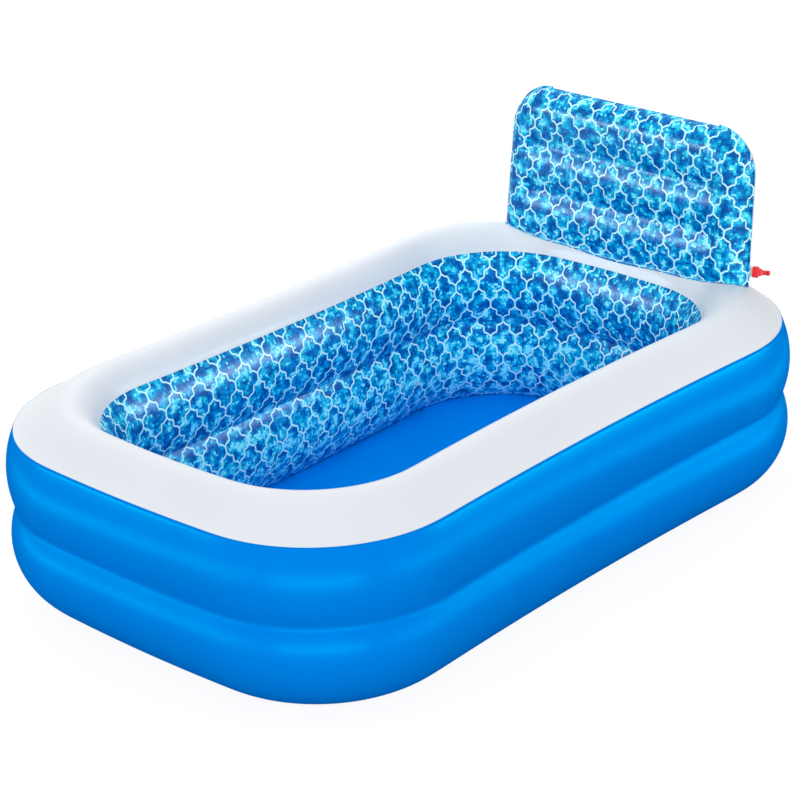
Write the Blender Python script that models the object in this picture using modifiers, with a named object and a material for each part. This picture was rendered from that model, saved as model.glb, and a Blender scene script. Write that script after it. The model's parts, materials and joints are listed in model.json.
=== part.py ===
"""Inflatable family pool with two air rings, a soft floor and a backrest panel with a hose inlet.

Metres, +Z up. X runs along the short side, Y along the long side, and the panel stands on the +Y end.
The origin is on the ground, under the middle of the pool.
Films are open surfaces with a Solidify modifier, and welded films lie a clearance apart.
"""

import math

import bmesh
import bpy
from mathutils import Matrix, Vector

MM = 0.001
UNIT_SIDE = 1.0

# General sizes
FILM = 0.3 * MM
CLEARANCE = 0.3 * MM
WELD_LAP = 8 * MM
CUT_OVERRUN = 2 * MM
MERGE_DISTANCE = 0.01 * MM
POOL_COLLECTION = "inflatable_family_pool"
CUTTER_COLLECTION = "cutters"

# Plan of the outer seam, between the outer wall and the top sheet
SEAM_HALF_WIDTH = 0.733
SEAM_HALF_LENGTH = 1.169
SEAM_CORNER = 0.431
SIDE_BOW = -0.018
END_BOW = 0.008

# Plan of the inner seam, between the top sheet and the inner wall
OPENING_HALF_WIDTH = 0.518
OPENING_HALF_LENGTH = 0.968
OPENING_CORNER = 0.325

# Section of the two rings; an out is measured from the seam above, away from the middle of the pool
SEAM_HEIGHT = 0.521
CREASE_HEIGHT = 0.285
OPENING_HEIGHT = 0.529
OUTER_CREASE_OUT = 0.005
FOOT_OUT = -0.101
INNER_CREASE_OUT = -0.016
FLOOR_LINE_OUT = 0.029
LOWER_OUTER_BULGE = 0.069
UPPER_OUTER_BULGE = 0.026
LOWER_INNER_BULGE = 0.049
UPPER_INNER_BULGE = 0.039
CROWN = 0.075
CROWN_LEAN_SHARE = 1.585
CROWN_FULLNESS_SHARE = 0.85
PANEL_END_FULLNESS_SHARE = 0.52

# The ends of the panel's foot draw the top sheet down; places are measured from the middle of the pool
DIP_DEPTH = 0.023
DIP_ACROSS = 0.358
DIP_ALONG = 0.964
DIP_HALF_WIDTH = 0.123
DIP_HALF_LENGTH = 0.079

# Steps round the pool and across its films
CORNER_STEPS = 9
SIDE_STEPS = 4
END_STEPS = 3
LOWER_WALL_STEPS = 6
UPPER_WALL_STEPS = 5
TOP_STEPS = 9

# Backrest panel: across, up and through are its own directions
PANEL_SEAM_BACK = 0.070
PANEL_FOOT_HEIGHT = 0.575
PANEL_HALF_WIDTH = 0.478
PANEL_HEIGHT = 0.480
PANEL_TAPER = 0.014
PANEL_CORNER = 0.135
PANEL_LEAN = math.radians(5)
PANEL_FRONT_DEPTH = 0.066
PANEL_BACK_DEPTH = 0.060
PANEL_ROLL = 0.075
PANEL_FLANGE = 7 * MM
LOWER_GROOVE_HEIGHT = 0.148
UPPER_GROOVE_HEIGHT = 0.303
GROOVE_HALF_LENGTH = 0.345
GROOVE_DEPTH = 0.026
GROOVE_REACH = 0.077
FOOT_DRAW = 0.009
PANEL_SINK = 0.060
ROLL_STEPS = 4
MIDDLE_STEPS = 10
CHANNEL_STEPS = 5

# Inflation valves
VALVE_SIDES = 20
VALVE_FLANGE_RADIUS = 19 * MM
VALVE_FLANGE_THICKNESS = 1 * MM
VALVE_HOLE_RADIUS = 10 * MM
STEM_RADIUS = 7 * MM
STEM_BORE = 4.8 * MM
STEM_LENGTH = 17 * MM
STEM_RIM_RADIUS = 9.5 * MM
STEM_RIM_THICKNESS = 1.6 * MM
STEM_BEAD_RADIUS = 8.6 * MM
STEM_BEAD_LENGTH = 2.4 * MM
HUB_RADIUS = 9.4 * MM
HUB_DEPTH = 2.6 * MM
CAP_RADIUS = 8 * MM
CAP_THICKNESS = 1.6 * MM
CAP_TAPER = 0.8 * MM
STRAP_REACH = 13 * MM
STRAP_WIDTH = 5 * MM
CAP_TAB = 4 * MM
STRAP_LOW_SHARE = 0.2
STRAP_HIGH_SHARE = 0.75
FLAP_THICKNESS = 0.8 * MM
LOWER_VALVE_Y = 0.30
UPPER_VALVE_Y = 0.30
PANEL_VALVE_ACROSS = -0.20
PANEL_VALVE_UP = 0.09

# Floor drain
DRAIN_X = 0.34
DRAIN_Y = -0.60
DRAIN_SIDES = 24
DRAIN_FLANGE_RADIUS = 30 * MM
DRAIN_FLANGE_THICKNESS = 1.2 * MM
DRAIN_HUB_RADIUS = 17 * MM
DRAIN_HUB_HEIGHT = 8 * MM
DRAIN_BORE = 13 * MM
DRAIN_HOLE_RADIUS = 14 * MM
DRAIN_PLUG_RADIUS = 17.5 * MM
DRAIN_PLUG_THICKNESS = 2.4 * MM
DRAIN_PLUG_DEPTH = 6 * MM
DRAIN_PLUG_TAPER = 1.2 * MM
DRAIN_STRAP_REACH = 24 * MM
DRAIN_STRAP_WIDTH = 9 * MM
DRAIN_TAB = 8 * MM

# Hose inlet and its red connector
INLET_UP = 0.035
INLET_TURN = math.radians(30)
INLET_SIDES = 24
BOSS_FLANGE_WIDTH = 9 * MM
BOSS_FLANGE_THICKNESS = 1.4 * MM
BOSS_STAND_OFF = 3 * MM
SPIGOT_RADIUS = 13 * MM
SPIGOT_WALL = 4 * MM
SPIGOT_LENGTH = 14 * MM
SPIGOT_FLOOR = 4 * MM
SPIGOT_TAIL = 14 * MM
BARB_WALL = 1.2 * MM
THREAD_ROOM = 0.5 * MM
NUT_WALL = 3 * MM
NUT_LENGTH = 20 * MM
NUT_END = 3 * MM
NUT_RIBS = 14
NUT_RIB_DEPTH = 1.5 * MM
WASHER_THICKNESS = 2 * MM
COLLAR_THICKNESS = 2.5 * MM
TAIL_NECK_STEP = 3.5 * MM
TAIL_BORE = 4.5 * MM
TAIL_WALL = 3 * MM
TAIL_CONE_LENGTH = 16 * MM
TAIL_TIP_LENGTH = 19 * MM
SEAL_WIRE = 1.6 * MM
SPRAY_TUBE_RADIUS = 6 * MM
SPRAY_TUBE_WALL = 1 * MM
SPRAY_TUBE_SIDES = 8
SPRAY_TUBE_HOLE = 1 * MM
SPRAY_TUBE_HOLES = 7
SPRAY_HOLE_SIDES = 6
SPRAY_TUBE_RISE = 0.050
SPRAY_TUBE_BEND_STEPS = 8

# The outside of a panel skin stands this far off the seam's plane where the two skins are welded
SKIN_STAND = FILM + CLEARANCE / 2

# Colours: red, green, blue, then roughness
BLUE = (0.004, 0.196, 0.70, 0.28)
WHITE = (0.78, 0.82, 0.87, 0.30)
PRINT = (0.02, 0.25, 0.62, 0.28)
CLEAR = (0.70, 0.76, 0.82, 0.35)
RED = (0.80, 0.02, 0.03, 0.30)
BLACK = (0.015, 0.015, 0.016, 0.55)


def clear_scene():
    for obj in list(bpy.data.objects):
        bpy.data.objects.remove(obj, do_unlink=True)


def collection(name):
    found = bpy.data.collections.get(name)
    if found is None:
        found = bpy.data.collections.new(name)
        bpy.context.scene.collection.children.link(found)
    return found


def material(name, colour):
    found = bpy.data.materials.get(name)
    if found is None:
        found = bpy.data.materials.new(name)
        found.use_nodes = True
        shader = found.node_tree.nodes["Principled BSDF"]
        shader.inputs["Base Color"].default_value = (*colour[:3], 1)
        shader.inputs["Roughness"].default_value = colour[3]
        shader.inputs["Metallic"].default_value = 0
    return found


def piece(name, mesh, finish, parent=None, where=POOL_COLLECTION):
    """Link a mesh as a named object, smooth but for its sharp edges."""
    obj = bpy.data.objects.new(name, mesh)
    collection(where).objects.link(obj)
    mesh.materials.append(material(*finish))
    if parent is not None:
        obj.parent = parent
    mesh.shade_smooth()
    mesh.set_sharp_from_angle(angle=math.radians(40))
    return obj


def solidify(obj, thickness, offset=-1.0):
    shell = obj.modifiers.new("film", "SOLIDIFY")
    shell.thickness = thickness
    shell.offset = offset
    shell.use_even_offset = True


def mesh_from(name, build):
    """Run a bmesh builder and return its mesh."""
    bm = bmesh.new()
    build(bm)
    bmesh.ops.remove_doubles(bm, verts=bm.verts, dist=MERGE_DISTANCE)
    mesh = bpy.data.meshes.new(name)
    bm.to_mesh(mesh)
    bm.free()
    return mesh


def as_mesh(obj):
    """Turn an object and its modifiers, or a curve, into a plain mesh object."""
    depsgraph = bpy.context.evaluated_depsgraph_get()
    mesh = bpy.data.meshes.new_from_object(obj.evaluated_get(depsgraph))
    bm = bmesh.new()
    bm.from_mesh(mesh)
    bmesh.ops.remove_doubles(bm, verts=bm.verts, dist=MERGE_DISTANCE)
    bm.to_mesh(mesh)
    bm.free()
    made = bpy.data.objects.new(obj.name, mesh)
    made.parent = obj.parent
    made.matrix_basis = obj.matrix_basis.copy()
    name = obj.name
    for group in list(obj.users_collection):
        group.objects.link(made)
    bpy.data.objects.remove(obj, do_unlink=True)
    made.name = name
    return made


def cut(obj, cutter, operation="DIFFERENCE"):
    step = obj.modifiers.new(operation.lower(), "BOOLEAN")
    step.operation = operation
    step.solver = "EXACT"
    step.object = cutter
    cutter.hide_render = True
    cutter.display_type = "WIRE"
    return step


def rod(name, radius, low, high, sides, parent):
    """A cylinder along its parent's Z, from low to high, as a cutter."""
    mesh = mesh_from(name, lambda bm: bmesh.ops.create_cone(
        bm, cap_ends=True, segments=sides, radius1=radius, radius2=radius, depth=high - low,
        matrix=Matrix.Translation((0, 0, (low + high) / 2))))
    return piece(name, mesh, ("cutter", CLEAR), parent, CUTTER_COLLECTION)


def turned(name, profile, sides, finish, parent):
    """Spin a closed profile of (radius, height) points about Z, listed down the outside and up the bore."""
    def build(bm):
        points = [bm.verts.new((radius, 0, height)) for radius, height in profile]
        for low, high in zip(points, points[1:]):
            bm.edges.new((low, high))
        bm.edges.new((points[-1], points[0]))
    obj = piece(name, mesh_from(name, build), finish, parent)
    spin = obj.modifiers.new("turn", "SCREW")
    spin.axis = "Z"
    spin.steps = sides
    spin.render_steps = sides
    spin.use_merge_vertices = True
    spin.merge_threshold = MERGE_DISTANCE
    return obj


def seat(name, place, outward, up=(0, 0, 1)):
    """An empty at a seat, with its Z pointing outward and its Y as near as can be to up."""
    axis = Vector(outward).normalized()
    side = Vector(up).cross(axis).normalized()
    top = axis.cross(side)
    empty = bpy.data.objects.new(name, None)
    collection(POOL_COLLECTION).objects.link(empty)
    empty.matrix_world = Matrix.Translation(place) @ Matrix((side, top, axis)).transposed().to_4x4()
    return empty


# Sections: lists of (out, height) points, whose outside is on the right of their travel

def arc(start, end, bulge, steps):
    """Points of a round arc from start to end that swells by bulge to the right of its travel."""
    start = Vector(start)
    end = Vector(end)
    chord = end - start
    right = Vector((chord.y, -chord.x)).normalized()
    radius = (chord.length ** 2 / 4 + bulge ** 2) / (2 * bulge)
    half_angle = 2 * math.atan2(2 * bulge, chord.length)
    middle = (start + end) / 2 + right * (bulge - radius)
    points = []
    for step in range(steps + 1):
        angle = half_angle * (2 * step / steps - 1)
        along = chord.normalized() * radius * math.sin(angle)
        points.append(middle + along + right * radius * math.cos(angle))
    return points


def offset_section(points, distance):
    """The same section moved by distance to the right of its travel, with mitred corners."""
    moved = []
    for index, point in enumerate(points):
        before = points[index] - points[index - 1] if index else points[1] - points[0]
        after = points[index + 1] - points[index] if index + 1 < len(points) else before
        first = Vector((before.y, -before.x)).normalized()
        second = Vector((after.y, -after.x)).normalized()
        bisector = (first + second).normalized()
        moved.append(point + bisector * distance / bisector.dot(first))
    return moved


def lap_over(points, lap, lift):
    """The end of a section that laps over these points' last stretch, lifted off it by lift."""
    last = (points[-1] - points[-2]).normalized()
    right = Vector((last.y, -last.x))
    return [points[-1] - last * lap + right * lift, points[-1] + right * lift]


# Level lines round the pool

def level_line(half_width, half_length, corner, out, height):
    """A rounded rectangle whose long sides are drawn in and whose ends bow out."""
    radius = corner + out
    points = []
    for quarter in range(4):
        centre_x = (half_width - corner) * (1 if quarter in (0, 3) else -1)
        centre_y = (half_length - corner) * (1 if quarter in (0, 1) else -1)
        for step in range(CORNER_STEPS + 1):
            angle = math.pi / 2 * (quarter + step / CORNER_STEPS)
            place_x = centre_x + radius * math.cos(angle)
            place_y = centre_y + radius * math.sin(angle)
            points.append(Vector((place_x, place_y, height)))
        on_end = quarter % 2 == 0
        steps = END_STEPS if on_end else SIDE_STEPS
        bow = END_BOW if on_end else SIDE_BOW
        face = math.pi / 2 * (quarter + 1)
        outward = Vector((math.cos(face), math.sin(face), 0))
        travel = 2 * ((half_width if on_end else half_length) - corner)
        run = Vector((-outward.y, outward.x, 0))
        start = points[-1].copy()
        for step in range(1, steps):
            share = step / steps
            points.append(start + run * travel * share + outward * bow * 4 * share * (1 - share))
    return points


def outer_line(point):
    return level_line(SEAM_HALF_WIDTH, SEAM_HALF_LENGTH, SEAM_CORNER, point[0], point[1])


def inner_line(point):
    return level_line(OPENING_HALF_WIDTH, OPENING_HALF_LENGTH, OPENING_CORNER, point[0], point[1])


def sheet(name, lines, finish, thickness=FILM, parent=None):
    """A closed band of film through level lines, listed so that its outside is on the right."""
    def build(bm):
        rows = [[bm.verts.new(point) for point in line] for line in lines]
        for low, high in zip(rows, rows[1:]):
            for index in range(len(low)):
                after = (index + 1) % len(low)
                bm.faces.new((low[index], low[after], high[after], high[index]))
    obj = piece(name, mesh_from(name, build), finish, parent)
    solidify(obj, thickness)
    return obj


FLOOR_TOP = FILM + CLEARANCE

# The outer wall climbs from its foot to the seam, and the inner wall drops from the opening to the floor
OUTER_LOWER = arc((FOOT_OUT, FLOOR_TOP), (OUTER_CREASE_OUT, CREASE_HEIGHT), LOWER_OUTER_BULGE,
                  LOWER_WALL_STEPS)
OUTER_UPPER = arc((OUTER_CREASE_OUT, CREASE_HEIGHT), (0, SEAM_HEIGHT), UPPER_OUTER_BULGE, UPPER_WALL_STEPS)
OUTER_SECTION = OUTER_LOWER + OUTER_UPPER[1:]
INNER_UPPER = arc((0, OPENING_HEIGHT), (INNER_CREASE_OUT, CREASE_HEIGHT), UPPER_INNER_BULGE, UPPER_WALL_STEPS)
INNER_LOWER = arc((INNER_CREASE_OUT, CREASE_HEIGHT), (FLOOR_LINE_OUT, FLOOR_TOP), LOWER_INNER_BULGE,
                  LOWER_WALL_STEPS)
INNER_SECTION = INNER_UPPER + INNER_LOWER[1:]


def outer_wall():
    foot_tab = [Vector((FOOT_OUT - WELD_LAP, FLOOR_TOP))]
    lines = [outer_line(point) for point in foot_tab + OUTER_SECTION]
    return sheet("outer_wall_sheet", lines, ("blue_film", BLUE))


def inner_wall():
    floor_tab = [Vector((FLOOR_LINE_OUT + WELD_LAP, FLOOR_TOP))]
    lines = [inner_line(point) for point in INNER_SECTION + floor_tab]
    return sheet("inner_wall_sheet", lines, ("printed_film", PRINT))


def crown(share, seam_along):
    """Height of the top sheet over the straight line between its seams, from the outer seam to the inner.

    The panel's foot holds the film up, so its crown is fuller at that end.
    """
    at_panel = min(max((seam_along - SEAM_HALF_LENGTH) / SEAM_CORNER + 1, 0), 1)
    fullness = CROWN_FULLNESS_SHARE + (PANEL_END_FULLNESS_SHARE - CROWN_FULLNESS_SHARE) * at_panel
    return CROWN * math.sin(math.pi * share ** CROWN_LEAN_SHARE) ** fullness


def dip(point):
    """How far the film is drawn down near an end of the panel's foot."""
    beside = (abs(point.x) - DIP_ACROSS) / DIP_HALF_WIDTH
    along = (point.y - DIP_ALONG) / DIP_HALF_LENGTH
    return DIP_DEPTH * math.exp(-beside ** 2 - along ** 2)


def top_lines():
    lift = FILM + CLEARANCE
    outer_lap = lap_over(OUTER_SECTION, WELD_LAP, lift)
    inner_lap = [point for point in reversed(lap_over(INNER_SECTION[::-1], WELD_LAP, -lift))]
    outer = outer_line(outer_lap[1])
    inner = inner_line(inner_lap[0])
    lines = [outer_line(outer_lap[0]), outer]
    for step in range(1, TOP_STEPS):
        share = step / TOP_STEPS
        line = [start.lerp(end, share) for start, end in zip(outer, inner)]
        for point, start in zip(line, outer):
            point.z += crown(share, start.y) - dip(point)
        lines.append(line)
    return lines + [inner, inner_line(inner_lap[1])]


def divider():
    """The film between the rings, with a weld tab turned down along each wall."""
    inside = FILM + CLEARANCE
    outer = offset_section(OUTER_SECTION, -inside)
    inner = offset_section(INNER_SECTION, -inside)
    outer_tip = outer[LOWER_WALL_STEPS]
    inner_tip = inner[UPPER_WALL_STEPS]
    outer_tab = outer_tip + (outer[LOWER_WALL_STEPS - 1] - outer_tip).normalized() * WELD_LAP
    inner_tab = inner_tip + (inner[UPPER_WALL_STEPS + 1] - inner_tip).normalized() * WELD_LAP
    lines = [outer_line(outer_tab), outer_line(outer_tip), inner_line(inner_tip), inner_line(inner_tab)]
    return sheet("chamber_divider", lines, ("clear_film", CLEAR))


def floor_sheet():
    line = outer_line((FOOT_OUT, 0))

    def build(bm):
        bm.faces.new([bm.verts.new(point) for point in line])
    obj = piece("floor_sheet", mesh_from("floor_sheet", build), ("blue_film", BLUE))
    solidify(obj, FILM, 1.0)
    return obj


# Backrest panel

def panel_shares(steps):
    """Shares of a roll's width, closer together at its seam."""
    return [1 - math.cos(math.pi / 2 * step / steps) for step in range(steps + 1)]


def panel_rows():
    """Heights of the panel's rows: under the top sheet, then each channel, closer together at its ends."""
    rows = [-PANEL_SINK, -PANEL_SINK / 2]
    ends = (0, LOWER_GROOVE_HEIGHT, UPPER_GROOVE_HEIGHT)
    for low, high in zip(ends, ends[1:]):
        for step in range(CHANNEL_STEPS):
            rows.append(low + (high - low) * (1 - math.cos(math.pi * step / CHANNEL_STEPS)) / 2)
    span = PANEL_HEIGHT - UPPER_GROOVE_HEIGHT
    for step in range(CHANNEL_STEPS + 2):
        rows.append(UPPER_GROOVE_HEIGHT + span * (1 - math.cos(math.pi * step / (CHANNEL_STEPS + 2))) / 2)
    rows.append(PANEL_HEIGHT)
    return rows


def panel_half_width(up):
    """Half the width at a height, and the outline's outward direction there."""
    half = PANEL_HALF_WIDTH - PANEL_TAPER * up / PANEL_HEIGHT
    rise = up - (PANEL_HEIGHT - PANEL_CORNER)
    if rise <= 0:
        return half, Vector((1, 0))
    run = math.sqrt(max(PANEL_CORNER ** 2 - rise ** 2, 0))
    return half - PANEL_CORNER + run, Vector((run, rise)).normalized()


def rim_distance(across, up):
    """How far a point of the panel lies inside its seam."""
    half = PANEL_HALF_WIDTH - PANEL_TAPER * up / PANEL_HEIGHT
    beside = abs(across) - (half - PANEL_CORNER)
    above = up - (PANEL_HEIGHT - PANEL_CORNER)
    if beside > 0 and above > 0:
        return PANEL_CORNER - math.hypot(beside, above)
    return PANEL_CORNER - max(beside, above)


def panel_depth(across, up, depth):
    """How far a skin stands off the seam's plane: full inside the roll, drawn in along the grooves."""
    inside = min(max(rim_distance(across, up), 0) / PANEL_ROLL, 1)
    full = depth * math.sqrt(1 - (1 - inside) ** 2)
    drawn = FOOT_DRAW * max(1 - max(up, 0) / GROOVE_REACH, 0) ** 2
    for groove in (LOWER_GROOVE_HEIGHT, UPPER_GROOVE_HEIGHT):
        past = max(abs(across) - GROOVE_HALF_LENGTH, 0)
        near = 1 - math.hypot(up - groove, past) / GROOVE_REACH
        drawn += GROOVE_DEPTH * max(near, 0) ** 2
    return full - drawn * inside


def panel_columns(up):
    """Places across the panel at a height, from its +X seam to its -X seam."""
    half = panel_half_width(up)[0]
    roll = [half - PANEL_ROLL * share for share in panel_shares(ROLL_STEPS)]
    middle = [roll[-1] * (1 - 2 * step / MIDDLE_STEPS) for step in range(1, MIDDLE_STEPS)]
    return roll + middle + [-value for value in reversed(roll)]


def panel_flat(across, up, depth):
    """The middle of the back skin's flat facet at a place, and its outward direction, in panel axes."""
    rows = panel_rows()
    top = next(index for index, value in enumerate(rows) if value > up)
    columns = panel_columns(up)
    right = next(index for index, value in enumerate(columns) if value < across)
    middle = (columns[right - 1] + columns[right]) / 2
    low = Vector((middle, panel_depth(middle, rows[top - 1], depth) + SKIN_STAND, rows[top - 1]))
    high = Vector((middle, panel_depth(middle, rows[top], depth) + SKIN_STAND, rows[top]))
    return (low + high) / 2, Vector((-1, 0, 0)).cross(high - low).normalized()


def under_top_sheet(lines):
    """A cutter that fills the space under the top sheet, up to a clearance over it."""
    def build(bm):
        lift = Vector((0, 0, 2 * CLEARANCE))
        drop = Vector((0, 0, SEAM_HEIGHT - CREASE_HEIGHT))
        loops = [[point + lift for point in line] for line in lines[1:-1]]
        loops += [[point - drop for point in lines[-2]], [point - drop for point in lines[1]]]
        rows = [[bm.verts.new(point) for point in loop] for loop in loops]
        for low, high in zip(rows, rows[1:] + rows[:1]):
            for index in range(len(low)):
                after = (index + 1) % len(low)
                bm.faces.new((low[index], low[after], high[after], high[index]))
    mesh = mesh_from("under_top_sheet", build)
    return piece("under_top_sheet", mesh, ("cutter", CLEAR), None, CUTTER_COLLECTION)


def panel_skin(name, depth, sign, finish, parent, ground):
    """One skin of the panel; sign is -1 for the front. It is trimmed where it stands on the top sheet."""
    rows = panel_rows()

    def build(bm):
        grid = []
        for up in rows:
            outward = panel_half_width(up)[1]
            row = []
            for across in panel_columns(up):
                stand = panel_depth(across, up, depth) + SKIN_STAND
                row.append(Vector((across, sign * stand, up)))
            rim = row[0] + Vector((outward.x, 0, outward.y)) * PANEL_FLANGE
            row.insert(0, rim)
            row.append(Vector((-rim.x, rim.y, rim.z)))
            grid.append(row)
        last = grid[-1]
        flange = [point + Vector((0, 0, PANEL_FLANGE)) for point in last[1:-1]]
        verts = [[bm.verts.new(point) for point in row] for row in grid]
        tops = [verts[-1][0]] + [bm.verts.new(point) for point in flange[1:-1]] + [verts[-1][-1]]
        for low, high in zip(verts, verts[1:]):
            for index in range(len(low) - 1):
                corners = (low[index], low[index + 1], high[index + 1], high[index])
                bm.faces.new(corners if sign > 0 else corners[::-1])
        rim_row = verts[-1][1:-1]
        for index in range(len(rim_row) - 1):
            corners = (rim_row[index], rim_row[index + 1], tops[index + 1], tops[index])
            bm.faces.new(corners if sign > 0 else corners[::-1])
    obj = piece(name, mesh_from(name, build), finish, parent)
    solidify(obj, FILM)
    cut(obj, ground)
    return obj


def panel_web(name, groove, parent):
    """The flat film that holds a groove of the front skin to the back skin."""
    low = (-GROOVE_HALF_LENGTH, CLEARANCE - panel_depth(0, groove, PANEL_FRONT_DEPTH), groove - FILM / 2)
    high = (GROOVE_HALF_LENGTH, panel_depth(0, groove, PANEL_BACK_DEPTH) - CLEARANCE, groove + FILM / 2)
    return piece(name, mesh_from(name, lambda bm: box(bm, low, high)), ("clear_film", CLEAR), parent)


# Inflation valves

def valve(name, place, outward, skin):
    """A flange on the film, a stem that sinks into it, a cap on a strap and a check flap."""
    frame = seat(name + "_seat", place, outward)
    face = VALVE_FLANGE_THICKNESS + CLEARANCE
    guide = STEM_RADIUS + CLEARANCE
    turned(name + "_flange", [
        (guide, face), (VALVE_FLANGE_RADIUS, face), (VALVE_FLANGE_RADIUS, CLEARANCE), (HUB_RADIUS, CLEARANCE),
        (HUB_RADIUS, -HUB_DEPTH), (guide, -HUB_DEPTH),
    ], VALVE_SIDES, ("clear_vinyl", CLEAR), frame)
    hole = rod(name + "_hole", VALVE_HOLE_RADIUS, -CUT_OVERRUN, CUT_OVERRUN, VALVE_SIDES, frame)
    cut(skin, hole)

    under_rim = face + CLEARANCE
    rim_top = under_rim + STEM_RIM_THICKNESS
    foot = under_rim - STEM_LENGTH
    stem = turned(name + "_stem", [
        (STEM_BORE, rim_top), (STEM_RIM_RADIUS, rim_top), (STEM_RIM_RADIUS, under_rim),
        (STEM_RADIUS, under_rim), (STEM_RADIUS, foot + STEM_BEAD_LENGTH),
        (STEM_BEAD_RADIUS, foot + STEM_BEAD_LENGTH), (STEM_BEAD_RADIUS, foot), (STEM_BORE, foot),
    ], VALVE_SIDES, ("clear_vinyl", CLEAR), frame)

    hinge_height = rim_top + CLEARANCE
    hinge = bpy.data.objects.new(name + "_cap_hinge", None)
    collection(POOL_COLLECTION).objects.link(hinge)
    hinge.parent = frame
    hinge.location = (0, STRAP_REACH, hinge_height)
    cap_mesh = cap_shape(name + "_cap", CAP_RADIUS, CAP_THICKNESS, STEM_BORE - CLEARANCE, CAP_TAPER,
                         STEM_RIM_THICKNESS * 2, STRAP_REACH, STRAP_WIDTH, CAP_TAB, VALVE_SIDES)
    piece(name + "_cap", cap_mesh, ("clear_vinyl", CLEAR), hinge)

    flap_hinge = bpy.data.objects.new(name + "_flap_hinge", None)
    collection(POOL_COLLECTION).objects.link(flap_hinge)
    flap_hinge.parent = frame
    flap_hinge.location = (0, STEM_RADIUS, foot - CLEARANCE)
    flap_mesh = mesh_from(name + "_flap", lambda bm: bmesh.ops.create_cone(
        bm, cap_ends=True, segments=VALVE_SIDES, radius1=STEM_RADIUS, radius2=STEM_RADIUS,
        depth=FLAP_THICKNESS, matrix=Matrix.Translation((0, -STEM_RADIUS, -FLAP_THICKNESS / 2))))
    piece(name + "_flap", flap_mesh, ("clear_vinyl", CLEAR), flap_hinge)
    strap_lug(stem, STEM_RIM_RADIUS, STRAP_REACH, STRAP_WIDTH, under_rim, STEM_RIM_THICKNESS)
    return frame


def cap_shape(name, radius, thickness, plug_top, plug_taper, plug_depth, reach, width, tab, sides):
    """A cap whose origin is on its hinge line: a disc, a tapered plug under it, a strap and a finger tab."""
    def build(bm):
        centre = Matrix.Translation((0, -reach, thickness / 2))
        bmesh.ops.create_cone(bm, cap_ends=True, segments=sides, radius1=radius, radius2=radius,
                              depth=thickness, matrix=centre)
    base = piece(name + "_disc", mesh_from(name, build), ("cutter", CLEAR), None, CUTTER_COLLECTION)
    extras = []
    plug_mesh = mesh_from(name, lambda bm: bmesh.ops.create_cone(
        bm, cap_ends=True, segments=sides, radius1=plug_top - plug_taper, radius2=plug_top,
        depth=plug_depth + thickness / 2,
        matrix=Matrix.Translation((0, -reach, (thickness / 2 - plug_depth) / 2))))
    extras.append(piece(name + "_plug_form", plug_mesh, ("cutter", CLEAR), None, CUTTER_COLLECTION))
    far = -reach - radius - tab
    low = (-width / 2, far, thickness * STRAP_LOW_SHARE)
    high = (width / 2, 0, thickness * STRAP_HIGH_SHARE)
    strap_mesh = mesh_from(name, lambda bm: box(bm, low, high))
    extras.append(piece(name + "_strap_form", strap_mesh, ("cutter", CLEAR), None, CUTTER_COLLECTION))
    for extra in extras:
        cut(base, extra, "UNION")
    joined = as_mesh(base)
    for extra in extras:
        bpy.data.objects.remove(extra, do_unlink=True)
    mesh = joined.data
    mesh.materials.clear()
    bpy.data.objects.remove(joined, do_unlink=True)
    return mesh


def box(bm, low, high):
    """A cuboid between two corners."""
    low = Vector(low)
    high = Vector(high)
    made = bmesh.ops.create_cube(bm, size=UNIT_SIDE)["verts"]
    bmesh.ops.scale(bm, vec=high - low, verts=made)
    bmesh.ops.translate(bm, vec=(low + high) / 2, verts=made)


def strap_lug(obj, rim, reach, width, low, thickness):
    """Join the lug that carries the strap to a rim."""
    mesh = mesh_from(obj.name + "_lug", lambda bm: box(
        bm, (-width / 2, rim - thickness, low), (width / 2, reach, low + thickness)))
    lug = piece(obj.name + "_lug", mesh, ("cutter", CLEAR), obj.parent, CUTTER_COLLECTION)
    cut(obj, lug, "UNION")


# Floor drain

def drain(skin):
    frame = seat("drain_seat", (DRAIN_X, DRAIN_Y, FLOOR_TOP), (0, 0, 1), (0, 1, 0))
    flange = turned("drain_flange", [
        (DRAIN_BORE, DRAIN_HUB_HEIGHT), (DRAIN_HUB_RADIUS, DRAIN_HUB_HEIGHT),
        (DRAIN_HUB_RADIUS, DRAIN_FLANGE_THICKNESS), (DRAIN_FLANGE_RADIUS, DRAIN_FLANGE_THICKNESS),
        (DRAIN_FLANGE_RADIUS, 0), (DRAIN_BORE, 0),
    ], DRAIN_SIDES, ("clear_vinyl", CLEAR), frame)
    strap_lug(flange, DRAIN_HUB_RADIUS, DRAIN_STRAP_REACH, DRAIN_STRAP_WIDTH,
              DRAIN_HUB_HEIGHT - DRAIN_PLUG_THICKNESS, DRAIN_PLUG_THICKNESS)
    hole = rod("drain_hole", DRAIN_HOLE_RADIUS, -CUT_OVERRUN, CUT_OVERRUN, DRAIN_SIDES, frame)
    cut(skin, hole)
    hinge = bpy.data.objects.new("drain_plug_hinge", None)
    collection(POOL_COLLECTION).objects.link(hinge)
    hinge.parent = frame
    hinge.location = (0, DRAIN_STRAP_REACH, DRAIN_HUB_HEIGHT + CLEARANCE)
    mesh = cap_shape("drain_plug", DRAIN_PLUG_RADIUS, DRAIN_PLUG_THICKNESS, DRAIN_BORE - CLEARANCE,
                     DRAIN_PLUG_TAPER, DRAIN_PLUG_DEPTH, DRAIN_STRAP_REACH, DRAIN_STRAP_WIDTH, DRAIN_TAB,
                     DRAIN_SIDES)
    piece("drain_plug", mesh, ("clear_vinyl", CLEAR), hinge)


# Hose inlet

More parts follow.
